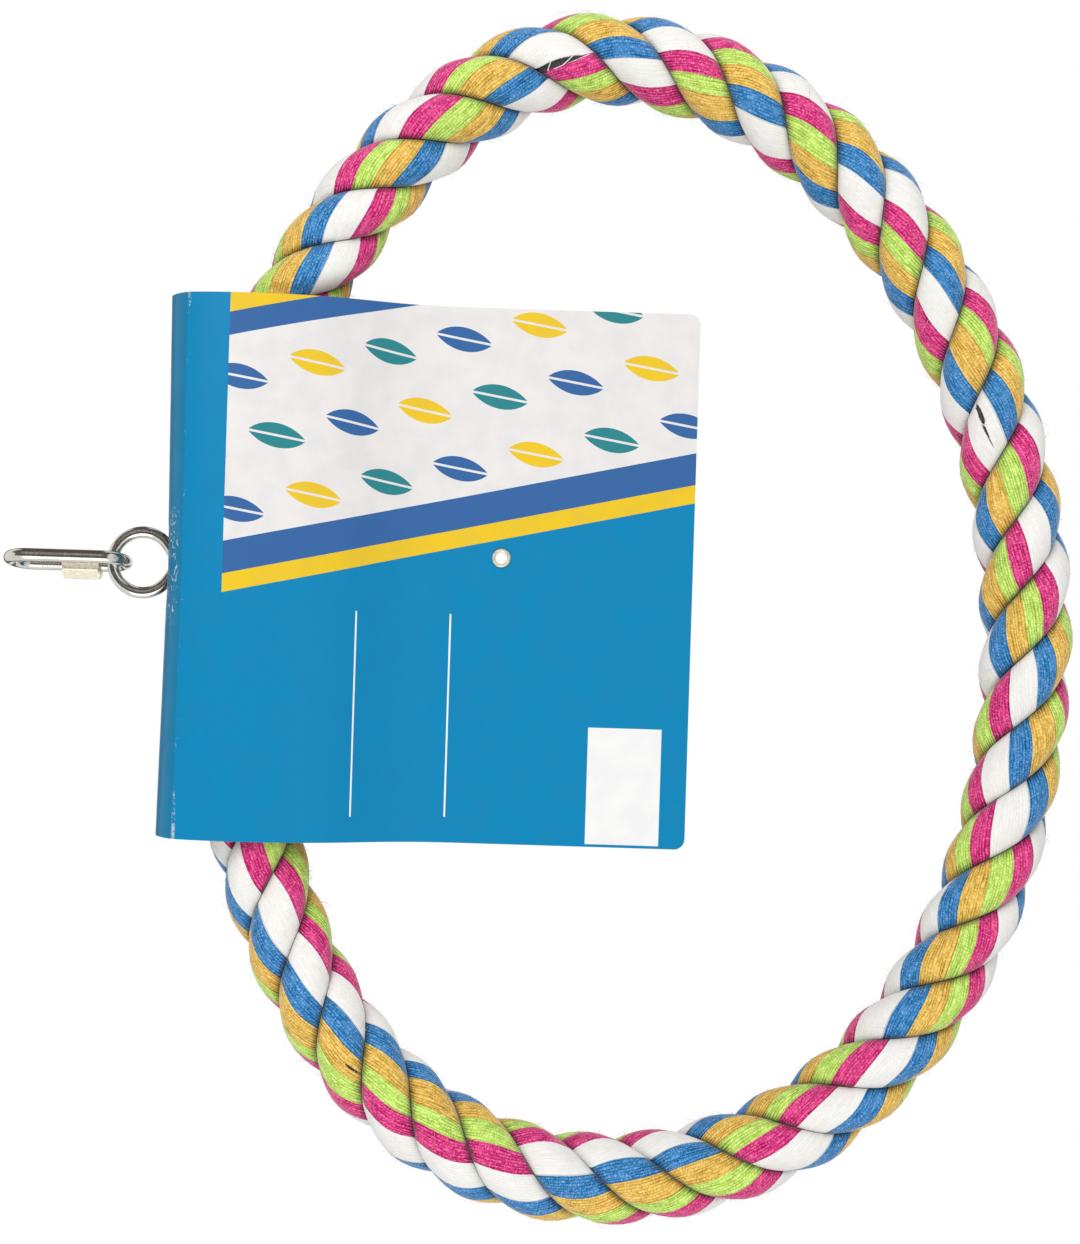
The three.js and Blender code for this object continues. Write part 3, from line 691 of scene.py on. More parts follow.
def eye_piece(hanger):
    """The eye bolt's wire: up the shank, round the neck, once round the eye and down to the shank again."""
    radius = (hanger.eye_outer - hanger.eye_wire) / 2
    centre_z = EYE_HIGH.z - hanger.eye_outer / 2
    tip_z = centre_z - radius / math.sin(hanger.eye_tip)
    neck_z = tip_z - hanger.eye_neck * math.tan(hanger.eye_tip / 2)
    bend = np.array([hanger.eye_neck, neck_z - tip_z])
    away = np.array([-math.sin(hanger.eye_tip), math.cos(hanger.eye_tip)])
    reach = hanger.eye_neck + hanger.eye_wire / 2 + hanger.eye_end_gap
    back = bend @ away
    end = away * (back + math.sqrt(back ** 2 - bend @ bend + reach ** 2)) + (0, tip_z)
    neck = np.linspace(math.pi, math.pi - hanger.eye_tip, 14)[1:]
    around = np.linspace(-hanger.eye_tip, math.pi + hanger.eye_tip, 110)
    shank_steps, threaded_steps = 80, 60
    shank = np.linspace(EYE_LOW.z, neck_z, shank_steps)
    rim = np.stack([radius * np.cos(around), centre_z + radius * np.sin(around)], axis=1)
    line = np.concatenate([
        np.stack([np.zeros_like(shank), shank], axis=1),
        np.stack([1 + np.cos(neck), np.sin(neck)], axis=1) * hanger.eye_neck + (0, neck_z),
        rim,
        np.linspace(rim[-1], end, 12)[1:],
    ])
    x, z = line.T
    path = np.stack([x, np.zeros_like(x), z], axis=1)
    wire = np.full((len(path), 1), hanger.eye_wire / 2)
    wire[[0, -1]] -= hanger.eye_end_chamfer
    sides = 32
    threaded = (np.arange(len(path)) < threaded_steps)[:, None]
    thickness = wire - threaded * thread_cut(hanger, z, sides)
    return new_piece("eye_bolt_wire", *tubes(path[None], thickness, sides, -FRONT), sharp=50)


def tube_piece(hanger):
    """The plastic tube: two cylinders with a wall between them, and a hole for the shank in its top."""
    radius = TUBE_HIGH.y
    sides = 96
    step = 2 * math.pi * radius / sides
    middle_steps, hole_steps, hole_share = 26, 6, 0.5
    x = np.concatenate([
        [TUBE_LOW.x, TUBE_LOW.x + hanger.tube_rim], np.arange(-middle_steps, middle_steps + 1) * step,
        [TUBE_HIGH.x - hanger.tube_rim, TUBE_HIGH.x],
    ])
    around = np.arange(sides) * step - sides // 2 * step
    grid_x, grid_around = np.meshgrid(x, around, indexing="ij")
    hole_reach = hole_steps * step
    grid_x, grid_around, share = draw_in(
        grid_x, grid_around, (0, 0), (hole_reach, hole_reach), hole_share, 0, hanger.shank_hole
    )
    quads = grid_quads(len(x), sides, wrap_columns=True)
    quads = quads[share.ravel()[quads].mean(axis=1) > hole_share]
    turn = grid_around.ravel() / radius
    flat = np.zeros_like(turn)
    direction = np.stack([flat, -np.sin(turn), np.cos(turn)], axis=1)
    middle = np.stack([grid_x.ravel(), flat, flat + TUBE_Z], axis=1)
    rounding = np.isin(grid_x.ravel(), (TUBE_LOW.x, TUBE_HIGH.x))[:, None] * hanger.tube_rounding
    outer = middle + direction * (radius - rounding)
    inner = middle + direction * (radius - hanger.tube_wall + rounding)
    points, faces = shell(outer, inner, quads)[:2]
    return new_piece("plastic_tube", points, faces, sharp=40)


# Card


def card_line(card):
    """Half of the card's section from the fold's top to the free edge: distance, points, crease's distance.

    An arch over the tube, a cheek beside it, a curve in to the other panel and a straight lower part. A point
    holds depth and height.
    """
    top_z = CARD_HIGH.z - card.thickness / 2
    hug = TUBE_HIGH.y + card.tube_gap + card.thickness / 2
    pinch = (card.panel_gap + card.thickness) / 2
    pinch_z = CARD_HIGH.z - card.pinch_drop
    crease = card.spine_width / 2
    crease_z = top_z - card.spine_rise
    radius = (crease ** 2 + card.spine_rise ** 2) / (2 * card.spine_rise)
    turn = np.linspace(0, math.asin(crease / radius), 80)
    arch = np.stack([radius * np.sin(turn), top_z - radius * (1 - np.cos(turn))], axis=1)
    t = np.linspace(0, 1, 80)[1:, None]
    pull = np.array([hug, (crease_z + TUBE_Z) / 2])
    cheek = (1 - t) ** 2 * arch[-1] + 2 * (1 - t) * t * pull + t ** 2 * np.array([hug, TUBE_Z])
    panel = bezier((
        (hug, TUBE_Z), (hug, TUBE_Z - card.hug_reach), (pinch, pinch_z + card.pinch_reach), (pinch, pinch_z)
    ), 300)[1:]
    line = np.concatenate([arch, cheek, panel, [[pinch, CARD_LOW.z]]])
    distance = run_length(line)
    return distance, line, float(distance[len(arch) - 1])


def card_piece(card):
    """The folded card: a flat grid with holes drawn into it, laid along the section line, with a thin wall.

    Across the grid is X; along it is the distance from the fold's top, to the front above 0 and to the back
    below it. Near the free edges the outer columns are pulled in to round the corners.
    """
    distance, line, crease = card_line(card)
    total = distance[-1]
    eyelet_at = total - (EYELET_Z - CARD_LOW.z)
    cell = card.cell
    slot_cells, slot_rows, open_rows = 14, 7, 5  # from the slot's middle: drawn cells, drawn rows, open rows
    eyelet_cells, eyelet_share = 4, 0.5
    slot_row = card.slot_half_width / open_rows
    slot_share = open_rows / slot_rows
    edge_cell = 0.4  # least width of a cell at the card's sides, in cells
    first = math.ceil(CARD_LOW.x / cell + edge_cell)
    last = math.floor(CARD_HIGH.x / cell - edge_cell)
    x = np.concatenate([[CARD_LOW.x], np.arange(first, last + 1) * cell, [CARD_HIGH.x]])
    block = eyelet_at + np.arange(-eyelet_cells, eyelet_cells + 1) * cell
    crease_rows = crease + card.crease_width * np.arange(-1, 2)
    corner_rows = total - card.corner * np.array([1, 0.72, 0.48, 0.28, 0.13, 0.04, 0])
    half = np.concatenate([
        np.arange(1, slot_rows + 1) * slot_row,
        np.linspace(slot_rows * slot_row, crease_rows[0], 9)[1:-1],
        crease_rows,
        np.linspace(crease_rows[-1], block[0], 58)[1:-1],
        block,
        np.linspace(block[-1], corner_rows[0], 34)[1:-1],
        corner_rows,
    ])
    along = np.concatenate([-half[::-1], [0], half])
    grid_x, grid_along = np.meshgrid(x, along, indexing="xy")
    grid_x, grid_along, hole_share = draw_in(
        grid_x, grid_along, (0, 0), (slot_cells * cell, slot_rows * slot_row), slot_share,
        card.slot_half_length - card.slot_half_width, card.slot_half_width,
    )
    hole = card.eyelet_hole / 2 + card.eyelet_wall + EYELET_PLAY
    reach = eyelet_cells * cell
    for panel in (eyelet_at, -eyelet_at):
        grid_x, grid_along, share = draw_in(
            grid_x, grid_along, (EYELET_X, panel), (reach, reach), eyelet_share, 0, hole
        )
        hole_share = np.minimum(hole_share, share + slot_share - eyelet_share)
    quads = grid_quads(len(along), len(x))[:, ::-1]
    quads = quads[hole_share.ravel()[quads].mean(axis=1) > slot_share]

    # Round corners: the outer columns move in where the free edge is nearer than the corner's radius
    into = np.clip(card.corner - (total - np.abs(grid_along)), 0, card.corner)
    pull = card.corner - np.sqrt(card.corner ** 2 - into ** 2)
    half_width = (CARD_HIGH.x - CARD_LOW.x) / 2
    offset = grid_x - (CARD_LOW.x + CARD_HIGH.x) / 2
    strip = 0.012  # width of the outer columns
    outer_part = np.clip((np.abs(offset) - half_width + strip) / strip, 0, 1) ** 2
    flat_x = grid_x - np.sign(offset) * outer_part * pull

    # The fold hangs lower towards its middle, less and less below the creases
    drop = np.abs(grid_along)
    fade = np.clip(1 - drop / (crease + card.spine_fade), 0, 1)
    sag = card.fold_sag * (1 - np.abs(offset) / half_width) * fade ** 2 * (3 - 2 * fade)
    slope = np.gradient(line, distance, axis=0)
    depth, height, slope_y, slope_z = (np.interp(drop, distance, row) for row in (*line.T, *slope.T))
    steep = np.hypot(slope_y, slope_z)
    side = np.where(grid_along > 0, -1, 1)
    facing = np.stack([np.zeros_like(depth), -slope_z / steep * side, slope_y / steep], axis=-1)
    middle = np.stack([flat_x, depth * side, height - sag], axis=-1)
    wall = facing * card.thickness / 2
    points, faces, kinds = shell((middle + wall).reshape(-1, 3), (middle - wall).reshape(-1, 3), quads)
    uv = np.tile(np.stack([flat_x.ravel(), grid_along.ravel()], axis=1), (2, 1))
    piece = new_piece("folded_card", points, faces, uv=uv, sharp=18)
    piece.data.polygons.foreach_set("material_index", np.minimum(kinds, 1).astype(np.int32))
    return piece


def eyelet_piece(card):
    """The eyelet: a barrel with a rolled flange on both panels, turned about its line through the card."""
    inner = card.eyelet_hole / 2
    barrel = inner + card.eyelet_wall
    flange = card.eyelet_flange / 2
    seat = card.panel_gap / 2 + card.thickness + EYELET_PLAY
    turn = np.linspace(0, math.pi, 15)
    roll_radius = (inner + flange) / 2 - (flange - inner) / 2 * np.cos(turn)
    roll_depth = seat + (EYELET_HIGH.y - seat) * np.sin(turn)
    radius = np.concatenate([roll_radius, [barrel, barrel], roll_radius[::-1]])[:, None]
    depth = np.concatenate([-roll_depth, [-seat, seat], roll_depth[::-1]])[:, None]
    sides = 48
    around = full_turn(sides)
    points = np.stack([
        EYELET_X + radius * np.cos(around), np.broadcast_to(depth, (len(depth), sides)),
        EYELET_Z + radius * np.sin(around),
    ], axis=-1)
    quads = grid_quads(len(radius), sides, wrap_rows=True, wrap_columns=True)[:, ::-1]
    return new_piece("rolled_eyelet", points.reshape(-1, 3), quads, sharp=50)


# Material nodes


def shaded(shade, share):
    """A colour with a share of its light, or with a share for each channel."""
    return (*np.minimum(np.array(shade[:3]) * share, 1), 1.0)


def sum_node(operation, turned=False):
    """A method that adds a sum node to its value's tree; turned puts the other value first."""
    def method(value, *others):
        values = (value, *others)[::-1 if turned else 1]
        return value.nodes.add("ShaderNodeMath", dict(enumerate(values)), operation=operation)
    return method


class Value:
    """An output of a node. A sum of values adds its nodes, so a formula reads as it is written."""

    def __init__(self, nodes, socket):
        self.nodes = nodes
        self.socket = socket

    __add__ = __radd__ = sum_node("ADD")
    __sub__ = sum_node("SUBTRACT")
    __rsub__ = sum_node("SUBTRACT", turned=True)
    __mul__ = sum_node("MULTIPLY")
    __truediv__ = sum_node("DIVIDE")
    __mod__ = sum_node("FLOORED_MODULO")
    __abs__ = sum_node("ABSOLUTE")
    __lt__ = sum_node("LESS_THAN")
    __gt__ = sum_node("GREATER_THAN")
    larger = sum_node("MAXIMUM")
    floor = sum_node("FLOOR")
    fraction = sum_node("FRACT")
    sine = sum_node("SINE")
    root = sum_node("SQRT")
    turn_from = sum_node("ARCTAN2")

    def step(self, low, high, start=0.0, end=1.0):
        """A smooth step from start to end as the value goes from low to high."""
        inputs = {"Value": self, "From Min": low, "From Max": high, "To Min": start, "To Max": end}
        return self.nodes.add("ShaderNodeMapRange", inputs, interpolation_type="SMOOTHSTEP")


class Nodes:
    """A node tree under construction, with short ways to add and link nodes."""

    def __init__(self, tree):
        self.tree = tree

    def put(self, socket, value):
        """Links a value to a socket, or sets a plain number or colour on it."""
        if isinstance(value, Value):
            self.tree.links.new(value.socket, socket)
        else:
            socket.default_value = value

    def node(self, kind, inputs=None, **settings):
        """A new node with these settings; inputs gives values by socket name or number."""
        made = self.tree.nodes.new(kind)
        for key, value in settings.items():
            setattr(made, key, value)
        for key, value in (inputs or {}).items():
            self.put(made.inputs[key], value)
        return made

    def add(self, kind, inputs=None, output=0, **settings):
        """One output of a new node."""
        return Value(self, self.node(kind, inputs, **settings).outputs[output])


class Finish(Nodes):
    """A material under construction."""

    def __init__(self, name, **values):
        self.material = bpy.data.materials.new(name)
        self.material.use_nodes = True
        super().__init__(self.material.node_tree)
        self.shader = self.tree.nodes["Principled BSDF"]
        self.set(**values)

    def set(self, **values):
        """Puts values on the shader's sockets, whose names have _ for a space."""
        for name, value in values.items():
            self.put(self.shader.inputs[name.replace("_", " ")], value)

    def tint(self, shade, share, mask):
        """Sets the base colour: the shade where the mask is 1, and a share of it where the mask is 0."""
        self.set(Base_Color=self.mix(mask, shaded(shade, share), tuple(shade)))

    def bump(self, height, strength, distance):
        """Links a bump to the shader's normal."""
        inputs = {"Height": height, "Strength": strength, "Distance": distance}
        self.set(Normal=self.add("ShaderNodeBump", inputs))

    def mix(self, factor, first, second, blend="MIX"):
        """A colour between two, or a colour changed by another."""
        inputs = {0: factor, 6: first, 7: second}
        return self.add("ShaderNodeMix", inputs, 2, data_type="RGBA", blend_type=blend, clamp_result=True)

    def ramp(self, value, stops):
        """A colour that changes at once where the value passes each of these places."""
        made = self.node("ShaderNodeValToRGB", {"Fac": value})
        made.color_ramp.interpolation = "CONSTANT"
        elements = made.color_ramp.elements
        for index, (position, shade) in enumerate(stops):
            element = elements[index] if index < 2 else elements.new(position)
            element.position = position
            element.color = shade
        return Value(self, made.outputs["Color"])

    def noise(self, vector, scale, detail=3.0, roughness=0.5):
        """Cloudy noise from 0 to 1."""
        inputs = {"Vector": vector, "Scale": scale, "Detail": detail, "Roughness": roughness}
        return self.add("ShaderNodeTexNoise", inputs, "Fac")

    def own(self):
        """The piece's own coordinates in metres."""
        return self.add("ShaderNodeTexCoord", output="Object")

    def vector(self, x, y, z=0.0):
        """A vector of three numbers."""
        return self.add("ShaderNodeCombineXYZ", {0: x, 1: y, 2: z})

    def parts(self, vector):
        """The three numbers of a vector."""
        return [Value(self, output) for output in self.node("ShaderNodeSeparateXYZ", {0: vector}).outputs]

    def surface(self):
        """The two numbers of the piece's own surface map."""
        return self.parts(self.add("ShaderNodeUVMap", uv_map="surface"))[:2]


def cotton_finish(rope):
    """Cotton yarn: five stripe colours by stripe number, specks by yarn, lines of painted shade between
    yarns, painted shade at the creases, and the dark slits.
    """
    cotton = Finish(
        "striped_cotton", Sheen_Weight=0.5, Sheen_Roughness=0.4, Roughness=0.92, Specular_IOR_Level=0.15
    )
    along, stripe = cotton.surface()
    crease = cotton.add("ShaderNodeAttribute", None, "Fac", attribute_name="crease")
    turn = stripe % float(STRIPES) / float(STRIPES)

    # Each strand has its own stripe widths; a stripe is darker along the edge where it begins
    rim_width, rim_share = 0.045, 0.72
    shades = [tuple(shade) for shade in (rope.white, rope.magenta, rope.lime, rope.ochre, rope.blue)]
    base, white = shades[0], 0.0
    for strand, edges in enumerate((rope.edges_1, rope.edges_2, rope.edges_3)):
        stops = [(0.0, shades[0])]
        for edge, shade in zip(edges, shades[1:] + shades[:1]):
            stops += [(edge / STRIPES, shaded(shade, rim_share)), ((edge + rim_width) / STRIPES, shade)]
        own_white = (turn < edges[0] / STRIPES).larger(turn > edges[-1] / STRIPES)
        from_here = stripe > STRAND_STRIPES * (strand - 0.05)
        base = cotton.mix(from_here, base, cotton.ramp(turn, stops))
        white = (own_white - white) * from_here + white
    coloured = white * -0.86 + 1.0

    def noise(rate, line, scale, detail):
        """Noise that changes along a yarn, at a rate by the millimetre, and from line to line."""
        return cotton.noise(cotton.vector(along * (rate * 1000), line), scale, detail)

    # Each yarn wanders a little and has its own tone and specks; the groove beside it is a bump and a line of
    # painted shade, clearest at creases
    even = stripe * float(rope.yarns)
    yarn = noise(0.2, even, 0.5, 1.0) * 1.4 + even
    number = yarn.floor()
    tone = noise(0.25, number, 1.3, 1.0)
    speck = noise(2.2, yarn, 1.0, 2.0)
    grain = noise(5.0, yarn, 2.3, 2.0)
    deep = noise(0.13, number, 1.7, 1.0).step(0.35, 0.65, 0.05, 0.75) + crease.step(0.0, 0.8, 0.0, 0.5)
    groove = abs(yarn.fraction() - 0.5).step(0.15, 0.48) * deep
    light = speck.step(0.3, 0.7, -0.2, 0.3) + grain.step(0.3, 0.7, -0.12, 0.14)
    light = light + tone.step(0.3, 0.7, -0.08, 0.28)
    # The groove's painted shade darkens the colour here, less on white
    change = (light - groove) * coloured

    # A colour changes by a share and by a plain amount that shows in its weak channels; painted shade darkens
    # it towards the creases
    toned = cotton.mix(1.0, base, change * 0.68 + 1.0, "MULTIPLY")
    toned = cotton.mix(1.0, toned, change.larger(-0.25) * 0.12, "ADD")
    pale_fleck = (0.85, 0.83, 0.78, 1.0)
    toned = cotton.mix(speck.step(0.56, 0.72, 0.0, 0.2) * coloured, toned, pale_fleck)
    # Painted shade: the colour darkens towards both creases, more on coloured yarn than on white
    dark = crease.step(0.1, 1.1, 0.0, 0.4) * (coloured * 1.3 + 0.3)
    toned = cotton.mix(1.0, toned, 1.0 - dark, "MULTIPLY")

    # Slits with slightly ragged edges, and the filler's grain inside
    slit = 0.0
    ragged = grain.step(0.3, 0.7, -0.15, 0.15)
    for slit_strand, slit_stripe, slit_distance, half_length, half_width in SLITS:
        from_middle = (along - slit_distance) / half_length
        from_line = (stripe - (slit_stripe + STRAND_STRIPES * slit_strand)) / half_width + ragged
        slit = (from_middle * from_middle + from_line * from_line).step(0.8, 1.0, 1.0, 0.0).larger(slit)
    inside = cotton.mix(grain.step(0.42, 0.66), shaded(rope.filler, 0.06), tuple(rope.filler))
    cotton.set(Base_Color=cotton.mix(slit, toned, inside))
    cotton.bump(speck + grain * 0.5 - groove, 0.5, 0.00012)
    return cotton.material


def zinc_finish(hanger):
    """Bright plating: mirror-like, with faint cloudiness and fine drawing marks."""
    zinc = Finish("bright_zinc", Metallic=1.0)
    place = zinc.own()
    scratch = zinc.noise(place, 2600.0, 2.0)
    zinc.tint(hanger.zinc, 0.88, zinc.noise(place, 220.0).step(0.3, 0.7))
    zinc.set(Roughness=scratch.step(0.25, 0.75, 0.10, 0.20))
    zinc.bump(scratch, 0.08, 0.00003)
    return zinc.material


def nickel_finish(hanger):
    """Satin plating: soft gloss with fine turning lines round the sleeve and small dull spots."""
    nickel = Finish("satin_nickel", Metallic=1.0)
    place = nickel.own()
    spots = nickel.noise(place, 900.0)
    nickel.tint(hanger.nickel, 0.86, spots.step(0.35, 0.65))
    nickel.set(Roughness=spots.step(0.3, 0.7, 0.42, 0.56))
    lines = nickel.vector(0.0, 0.0, nickel.parts(place)[2])
    nickel.bump(nickel.noise(lines, 9000.0, 2.0), 0.25, 0.00003)
    return nickel.material


def plastic_finish(hanger):
    """Extruded plastic: pale, faintly mottled, with fine lines along the tube."""
    plastic = Finish("white_tube_plastic", Specular_IOR_Level=0.45)
    place = plastic.own()
    mottle = plastic.noise(place, 160.0)
    plastic.tint(hanger.plastic, (0.95, 0.94, 0.9), mottle.step(0.35, 0.65))
    plastic.set(Roughness=mottle.step(0.3, 0.7, 0.34, 0.46))
    lines = plastic.vector(0.0, *plastic.parts(place)[1:])
    plastic.bump(plastic.noise(lines, 1400.0, 2.0), 0.12, 0.00005)
    return plastic.material


def tape_finish(hanger):
    """Cloth tape: a fine crossed weave round the rope end."""
    tape = Finish("cloth_tape", Roughness=0.75)
    x, y, z = tape.parts(tape.own())
    turn = y.turn_from(z - TUBE_Z)
    weave = (x * 9000.0).sine() * (turn * 130.0).sine()
    tape.tint(hanger.tape, 1.9, weave.step(-1.0, 1.0, 1.0, 0.0))
    tape.bump(weave, 0.5, 0.0001)
    return tape.material


def board_finish(card):
    """Bare grey-white board at the card's edges and on its inner side, with fine paper fibre."""
    board = Finish("bare_board", Roughness=0.85)
    grain = board.noise(board.own(), 900.0, 4.0)
    board.tint(card.board, 0.82, grain.step(0.3, 0.7))
    board.bump(grain, 0.2, 0.00005)
    return board.material


def print_finish(card):
    """Coated print: a slanted panel of leaves between bands, a blank label, thin rules, worn creases and
    painted shade on the spine.
    """
    printed = Finish("coated_print", Coat_Weight=0.03, Coat_Roughness=0.18, Specular_IOR_Level=0.1)
    across, along = printed.surface()
    drop = abs(along)
    distance, _, crease = card_line(card)
    field, royal, yellow, pale, leaf = (
        tuple(shade) for shade in (card.field, card.royal, card.yellow, card.pale, card.leaf)
    )

    # Slanted bands over the right half
    lean = across - drop * 0.22
    place = lean * 6.0 + 0.5
    bands = printed.ramp(place, [
        (0.0, field), (0.412, yellow), (0.442, royal), (0.50, pale), (0.84, royal), (0.88, yellow)
    ])
    in_panel = abs(place - 0.67) < 0.165

    # Leaves in rows: each is the part that two circles share
    row_width, leaf_pitch = 0.0185, 0.0215
    leaf_x = (lean + 0.001) / row_width
    row_number = leaf_x.floor()
    leaf_y = drop / leaf_pitch + row_number * 0.5
    local_y = leaf_y.fraction() - 0.5
    tilt = local_y * 0.45 + (leaf_x.fraction() - 0.5)
    offset = abs(tilt) + 0.30
    is_leaf = offset * offset + local_y * local_y < 0.235
    beside_vein = abs(tilt) > 0.018
    pick = (leaf_y.floor() + row_number) % 3.0 / 3.0
    leaf_shade = printed.ramp(pick, [(0.0, leaf), (0.3, royal), (0.6, yellow)])
    art = printed.mix(is_leaf * beside_vein * in_panel, bands, leaf_shade)

    # The spine and a strip beside it stay plain; a blank label and thin rules are on the front's left half
    art = printed.mix(drop > crease + card.spine_fade, field, art)
    front = along > 0.0
    free = float(distance[-1])
    for low_x, high_x, low_drop, high_drop in (
        (-0.0765, -0.0432, free - 0.0285, free - 0.0075),
        (-0.0700, -0.0120, crease + 0.0500, crease + 0.0505),
        (-0.0700, -0.0120, crease + 0.0780, crease + 0.0785),
    ):
        inside = front * (across > low_x) * (across < high_x) * (drop > low_drop) * (drop < high_drop)
        art = printed.mix(inside, art, (0.87, 0.87, 0.86, 1.0))

    # Wear: pale cracks along the creases, most at their ends, and scratches beside the slot; painted shade
    # makes the spine darker and greyer
    place = printed.own()
    fine = printed.noise(place, 900.0, 3.0, 0.65)
    broad = printed.noise(place, 120.0)
    swirl = printed.noise(place, 330.0, 1.0)
    from_middle = abs(across)
    worn_ends = from_middle.step(0.070, 0.077, 0.0, 0.16) + across.step(-0.055, -0.077, 0.0, 0.16)
    cracks = abs(drop - crease).step(0.0001, 0.0008, 1.0, 0.0) * (fine + worn_ends).step(0.62, 0.78)
    beside_slot = from_middle.step(0.011, 0.019, 1.0, 0.0) * drop.step(0.0135, 0.0155, 1.0, 0.0)
    stroke = abs(swirl - 0.5).step(0.014, 0.045, 1.0, 0.0) * fine.step(0.48, 0.58)
    worn = (cracks * 0.7).larger(stroke * beside_slot)
    # Painted shade: the spine between the creases is darker and greyer
    spine = drop.step(crease - 0.0008, crease, 0.5, 0.0)
    spine_shaded = printed.mix(spine, art, (0.0, 0.165, 0.3, 1.0))
    clouded = printed.mix(broad.step(0.35, 0.65, 0.0, 0.06), spine_shaded, (0.02, 0.10, 0.2, 1.0))
    printed.set(Base_Color=printed.mix(worn, clouded, tuple(card.board)))
    printed.set(Roughness=worn * 0.4 + broad.step(0.3, 0.7, 0.30, 0.40))
    printed.bump(worn * 2.0 + broad, 0.15, 0.0001)
    return printed.material


# Stage


def make_camera(scene, stage):
    """A camera that looks square at the ring's front, turned so that the hanger points left."""
    data = bpy.data.cameras.new("camera")
    data.sensor_width = 36.0
    data.lens = data.sensor_width * stage.distance / stage.picture_height
    camera = bpy.data.objects.new("camera", data)
    cos, sin = math.cos(stage.roll), math.sin(stage.roll)
    camera.matrix_world = Matrix((
        (sin, cos, 0, stage.centre_x),
        (0, 0, -1, -stage.distance),
        (-cos, sin, 0, stage.centre_z),
        (0, 0, 0, 1),
    ))
    scene.collection.objects.link(camera)
    scene.camera = camera


def make_world(scene):
    """An even soft light all round; the camera and mirror-like surfaces see it white."""
    world = bpy.data.worlds.new("studio")
    world.use_nodes = True
    studio = Nodes(world.node_tree)
    rays = studio.node("ShaderNodeLightPath").outputs
    kinds = ("Camera", "Glossy", "Transmission")
    camera, glossy, clear = (Value(studio, rays[f"Is {kind} Ray"]) for kind in kinds)
    background = studio.tree.nodes["Background"].inputs
    studio.put(background["Color"], WHITE)
    studio.put(background["Strength"], camera.larger(glossy.larger(clear)).step(0.0, 1.0, 0.5, 1.0))
    scene.world = world


def make_floor(stage):
    """A round pale floor whose outer part fades into the white background."""
    sides = 96
    turn = full_turn(sides)
    radius = np.array([0.02, 0.4, 0.8, 1.2, 1.6, 2.0, stage.floor_radius])
    ring = np.stack([np.cos(turn), np.sin(turn), np.zeros(sides)], axis=1)
    points = (radius[:, None, None] * ring).reshape(-1, 3) - stage.floor_drop * UP
    quads = grid_quads(len(radius), sides, wrap_columns=True)[:, ::-1]
    floor = new_piece("floor", points, quads, [np.arange(sides)])
    pale = Finish("pale_floor", Roughness=0.9)
    place = pale.own()
    x, y, _ = pale.parts(place)
    mottle = pale.noise(place, 6.0, 2.0).step(0.3, 0.7, 0.0, 0.15)
    pale.set(Base_Color=pale.mix(mottle, tuple(stage.floor), (0.8, 0.8, 0.8, 1.0)))
    white = pale.add("ShaderNodeEmission", {"Color": WHITE, "Strength": 1.0})
    far = (x * x + y * y).root().step(0.36, 0.62)
    lit = Value(pale, pale.shader.outputs[0])
    blend = pale.add("ShaderNodeMixShader", {0: far, 1: lit, 2: white})
    pale.put(pale.tree.nodes["Material Output"].inputs["Surface"], blend)
    floor.data.materials.append(pale.material)


def make_flags(stage):
    """Dark cloths that only mirrors see, on a sphere: in front, beside and behind the picture's edge.

    The first two span two angles, sideways and up. The last spans the angle from straight back, all round.
    """
    cloth = Finish("dark_cloth", Base_Color=(0.14, 0.125, 0.11, 1.0), Roughness=1.0, Specular_IOR_Level=0.0)

    def patch(sideways, upward):
        """Points of a sphere between two angles sideways and two angles up."""
        angles = (np.radians(np.linspace(*ends, 13)) for ends in (sideways, upward))
        side, up = np.meshgrid(*angles, indexing="ij")
        return np.stack([np.sin(side) * np.cos(up), -np.cos(side) * np.cos(up), np.sin(up)], axis=-1)

    back, around = np.meshgrid(np.radians([26, 36, 46]), full_turn(36), indexing="ij")
    rim = np.stack([np.sin(back) * np.cos(around), np.cos(back), np.sin(back) * np.sin(around)], axis=-1)
    for name, surface, closed in (
        ("front_flag", patch((-25, 95), (-60, 60)), False),
        ("side_flag", patch((95, 142), (2, 24)), False),
        ("back_flag", rim, True),
    ):
        quads = grid_quads(*surface.shape[:2], wrap_columns=closed)
        flag = new_piece(name, surface.reshape(-1, 3) * stage.flag_reach, quads)
        flag.data.materials.append(cloth.material)
        flag.visible_camera = False
        flag.visible_diffuse = False
        flag.visible_shadow = False
        flag.visible_transmission = False


def make_lights(scene, stage):
    """A large soft key light beside the camera and a wide weaker one across from it."""
    for name, place, size, power in (
        ("key_light", (0.8, -1.45, 0.4), 1.1, 15.0),
        ("side_light", (-1.3, -1.0, 0.1), 1.2, 6.0),
    ):
        data = bpy.data.lights.new(name, "AREA")
        data.size = size
        data.energy = power
        lamp = bpy.data.objects.new(name, data)
        lamp.location = place
        aim = Vector((0, 0, stage.centre_z)) - lamp.location
        lamp.rotation_euler = aim.to_track_quat("-Z", "Y").to_euler()
        scene.collection.objects.link(lamp)


# Operators


class SWING_OT_stage(bpy.types.Operator):
    """Make the pale floor, the soft light, the dark flags and the camera"""

    bl_idname = "swing.stage"
    bl_label = "Stage"

    def execute(self, context):
        scene, stage = context.scene, context.scene.swing_stage
        make_camera(scene, stage)
        make_world(scene)
        make_floor(stage)
        make_flags(stage)
        make_lights(scene, stage)
        scene.view_settings.view_transform = "Standard"
        return {"FINISHED"}


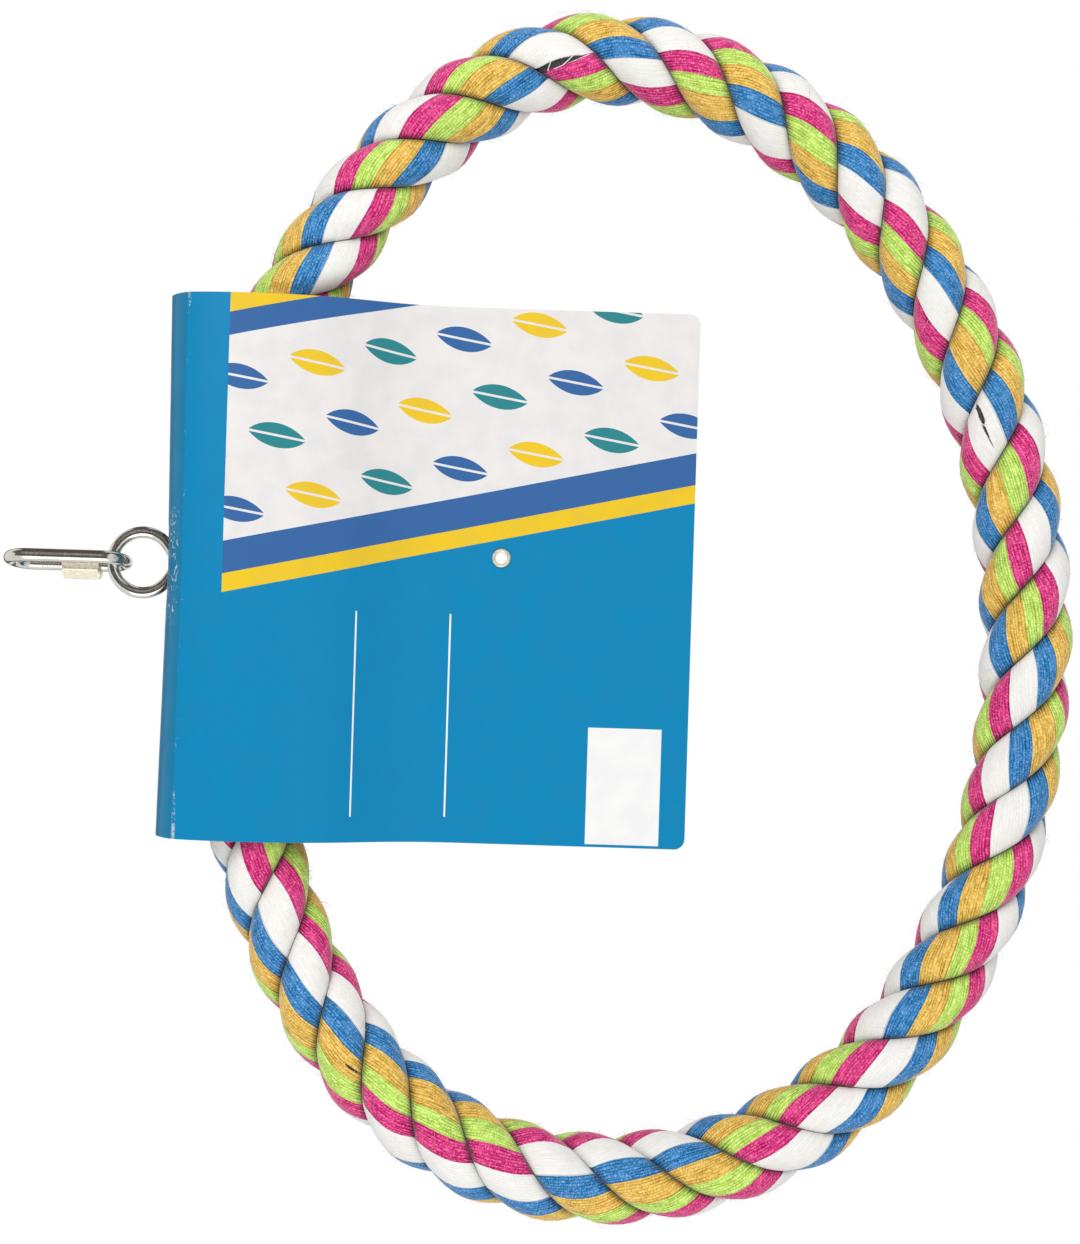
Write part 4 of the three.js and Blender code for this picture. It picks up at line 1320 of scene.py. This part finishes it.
class SWING_OT_rope(bpy.types.Operator):
    """Make the three strands of the perch rope, their loose fibres and the yarns across the slits"""

    bl_idname = "swing.rope"
    bl_label = "Rope"

    def execute(self, context):
        rope = context.scene.swing_rope
        route = RopeRoute(context.scene.swing_ring)
        cotton = cotton_finish(rope)
        for strand in range(STRANDS):
            piece = strand_piece(rope, route, strand)
            settle(piece, "ring", "cotton_rope", [f"strand_{strand + 1}"], cotton)
        for piece in (fibre_piece(rope, route), crossing_yarn_piece(rope, route)):
            settle(piece, "ring", "cotton_rope", [], cotton)
        return {"FINISHED"}


class SWING_OT_hanger(bpy.types.Operator):
    """Make the quick link, its sleeve nut and the eye bolt, and finish the washer and nut inside the tube"""

    bl_idname = "swing.hanger"
    bl_label = "Hanger"

    def execute(self, context):
        hanger = context.scene.swing_hanger
        zinc = zinc_finish(hanger)
        settle(link_piece(hanger), "link", "bright_zinc", ["link_body"], zinc)
        settle(sleeve_piece(hanger), "sleeve", "satin_nickel", ["link_sleeve_nut"], nickel_finish(hanger))
        settle(eye_piece(hanger), "ring", "bright_zinc", ["eye_bolt"], zinc)
        finish_nodes(zinc, "eye_washer", "eye_nut")
        return {"FINISHED"}


class SWING_OT_tube(bpy.types.Operator):
    """Make the plastic tube that joins the rope ends, and finish the tapes inside it"""

    bl_idname = "swing.tube"
    bl_label = "Tube and tapes"

    def execute(self, context):
        hanger = context.scene.swing_hanger
        settle(tube_piece(hanger), "ring", "white_tube", ["joint_tube"], plastic_finish(hanger))
        finish_nodes(tape_finish(hanger), "end_tape_right", "end_tape_left")
        return {"FINISHED"}


class SWING_OT_card(bpy.types.Operator):
    """Make the folded display card and its eyelet"""

    bl_idname = "swing.card"
    bl_label = "Card and eyelet"

    def execute(self, context):
        card = context.scene.swing_card
        piece = card_piece(card)
        settle(piece, "ring", "printed_card", ["header_card"], print_finish(card), board_finish(card))
        nickel = nickel_finish(context.scene.swing_hanger)
        settle(eyelet_piece(card), "ring", "satin_nickel", ["card_eyelet"], nickel)
        return {"FINISHED"}


OPERATORS = (SWING_OT_stage, SWING_OT_rope, SWING_OT_hanger, SWING_OT_tube, SWING_OT_card)


class SWING_PT_panel(bpy.types.Panel):
    """Lists the steps that build the bird swing"""

    bl_idname = "SWING_PT_panel"
    bl_label = "Bird swing"
    bl_space_type = "VIEW_3D"
    bl_region_type = "UI"
    bl_category = "Bird swing"

    def draw(self, context):
        for operator in OPERATORS:
            self.layout.operator(operator.bl_idname)


SETTINGS = {
    "swing_ring": RingSettings,
    "swing_rope": RopeSettings,
    "swing_hanger": HangerSettings,
    "swing_card": CardSettings,
    "swing_stage": StageSettings,
}
CLASSES = (*SETTINGS.values(), *OPERATORS, SWING_PT_panel)


def register():
    """Registers the classes and puts their settings on the scene."""
    for made in CLASSES:
        bpy.utils.register_class(made)
    for name, group in SETTINGS.items():
        setattr(bpy.types.Scene, name, PointerProperty(type=group))


def unregister():
    """Takes the settings off the scene and the classes away."""
    for name in SETTINGS:
        delattr(bpy.types.Scene, name)
    for made in CLASSES[::-1]:
        bpy.utils.unregister_class(made)


def main():
    register()
    bpy.ops.swing.stage()
    bpy.ops.swing.rope()
    bpy.ops.swing.hanger()
    bpy.ops.swing.tube()
    bpy.ops.swing.card()


if __name__ == "__main__":
    main()
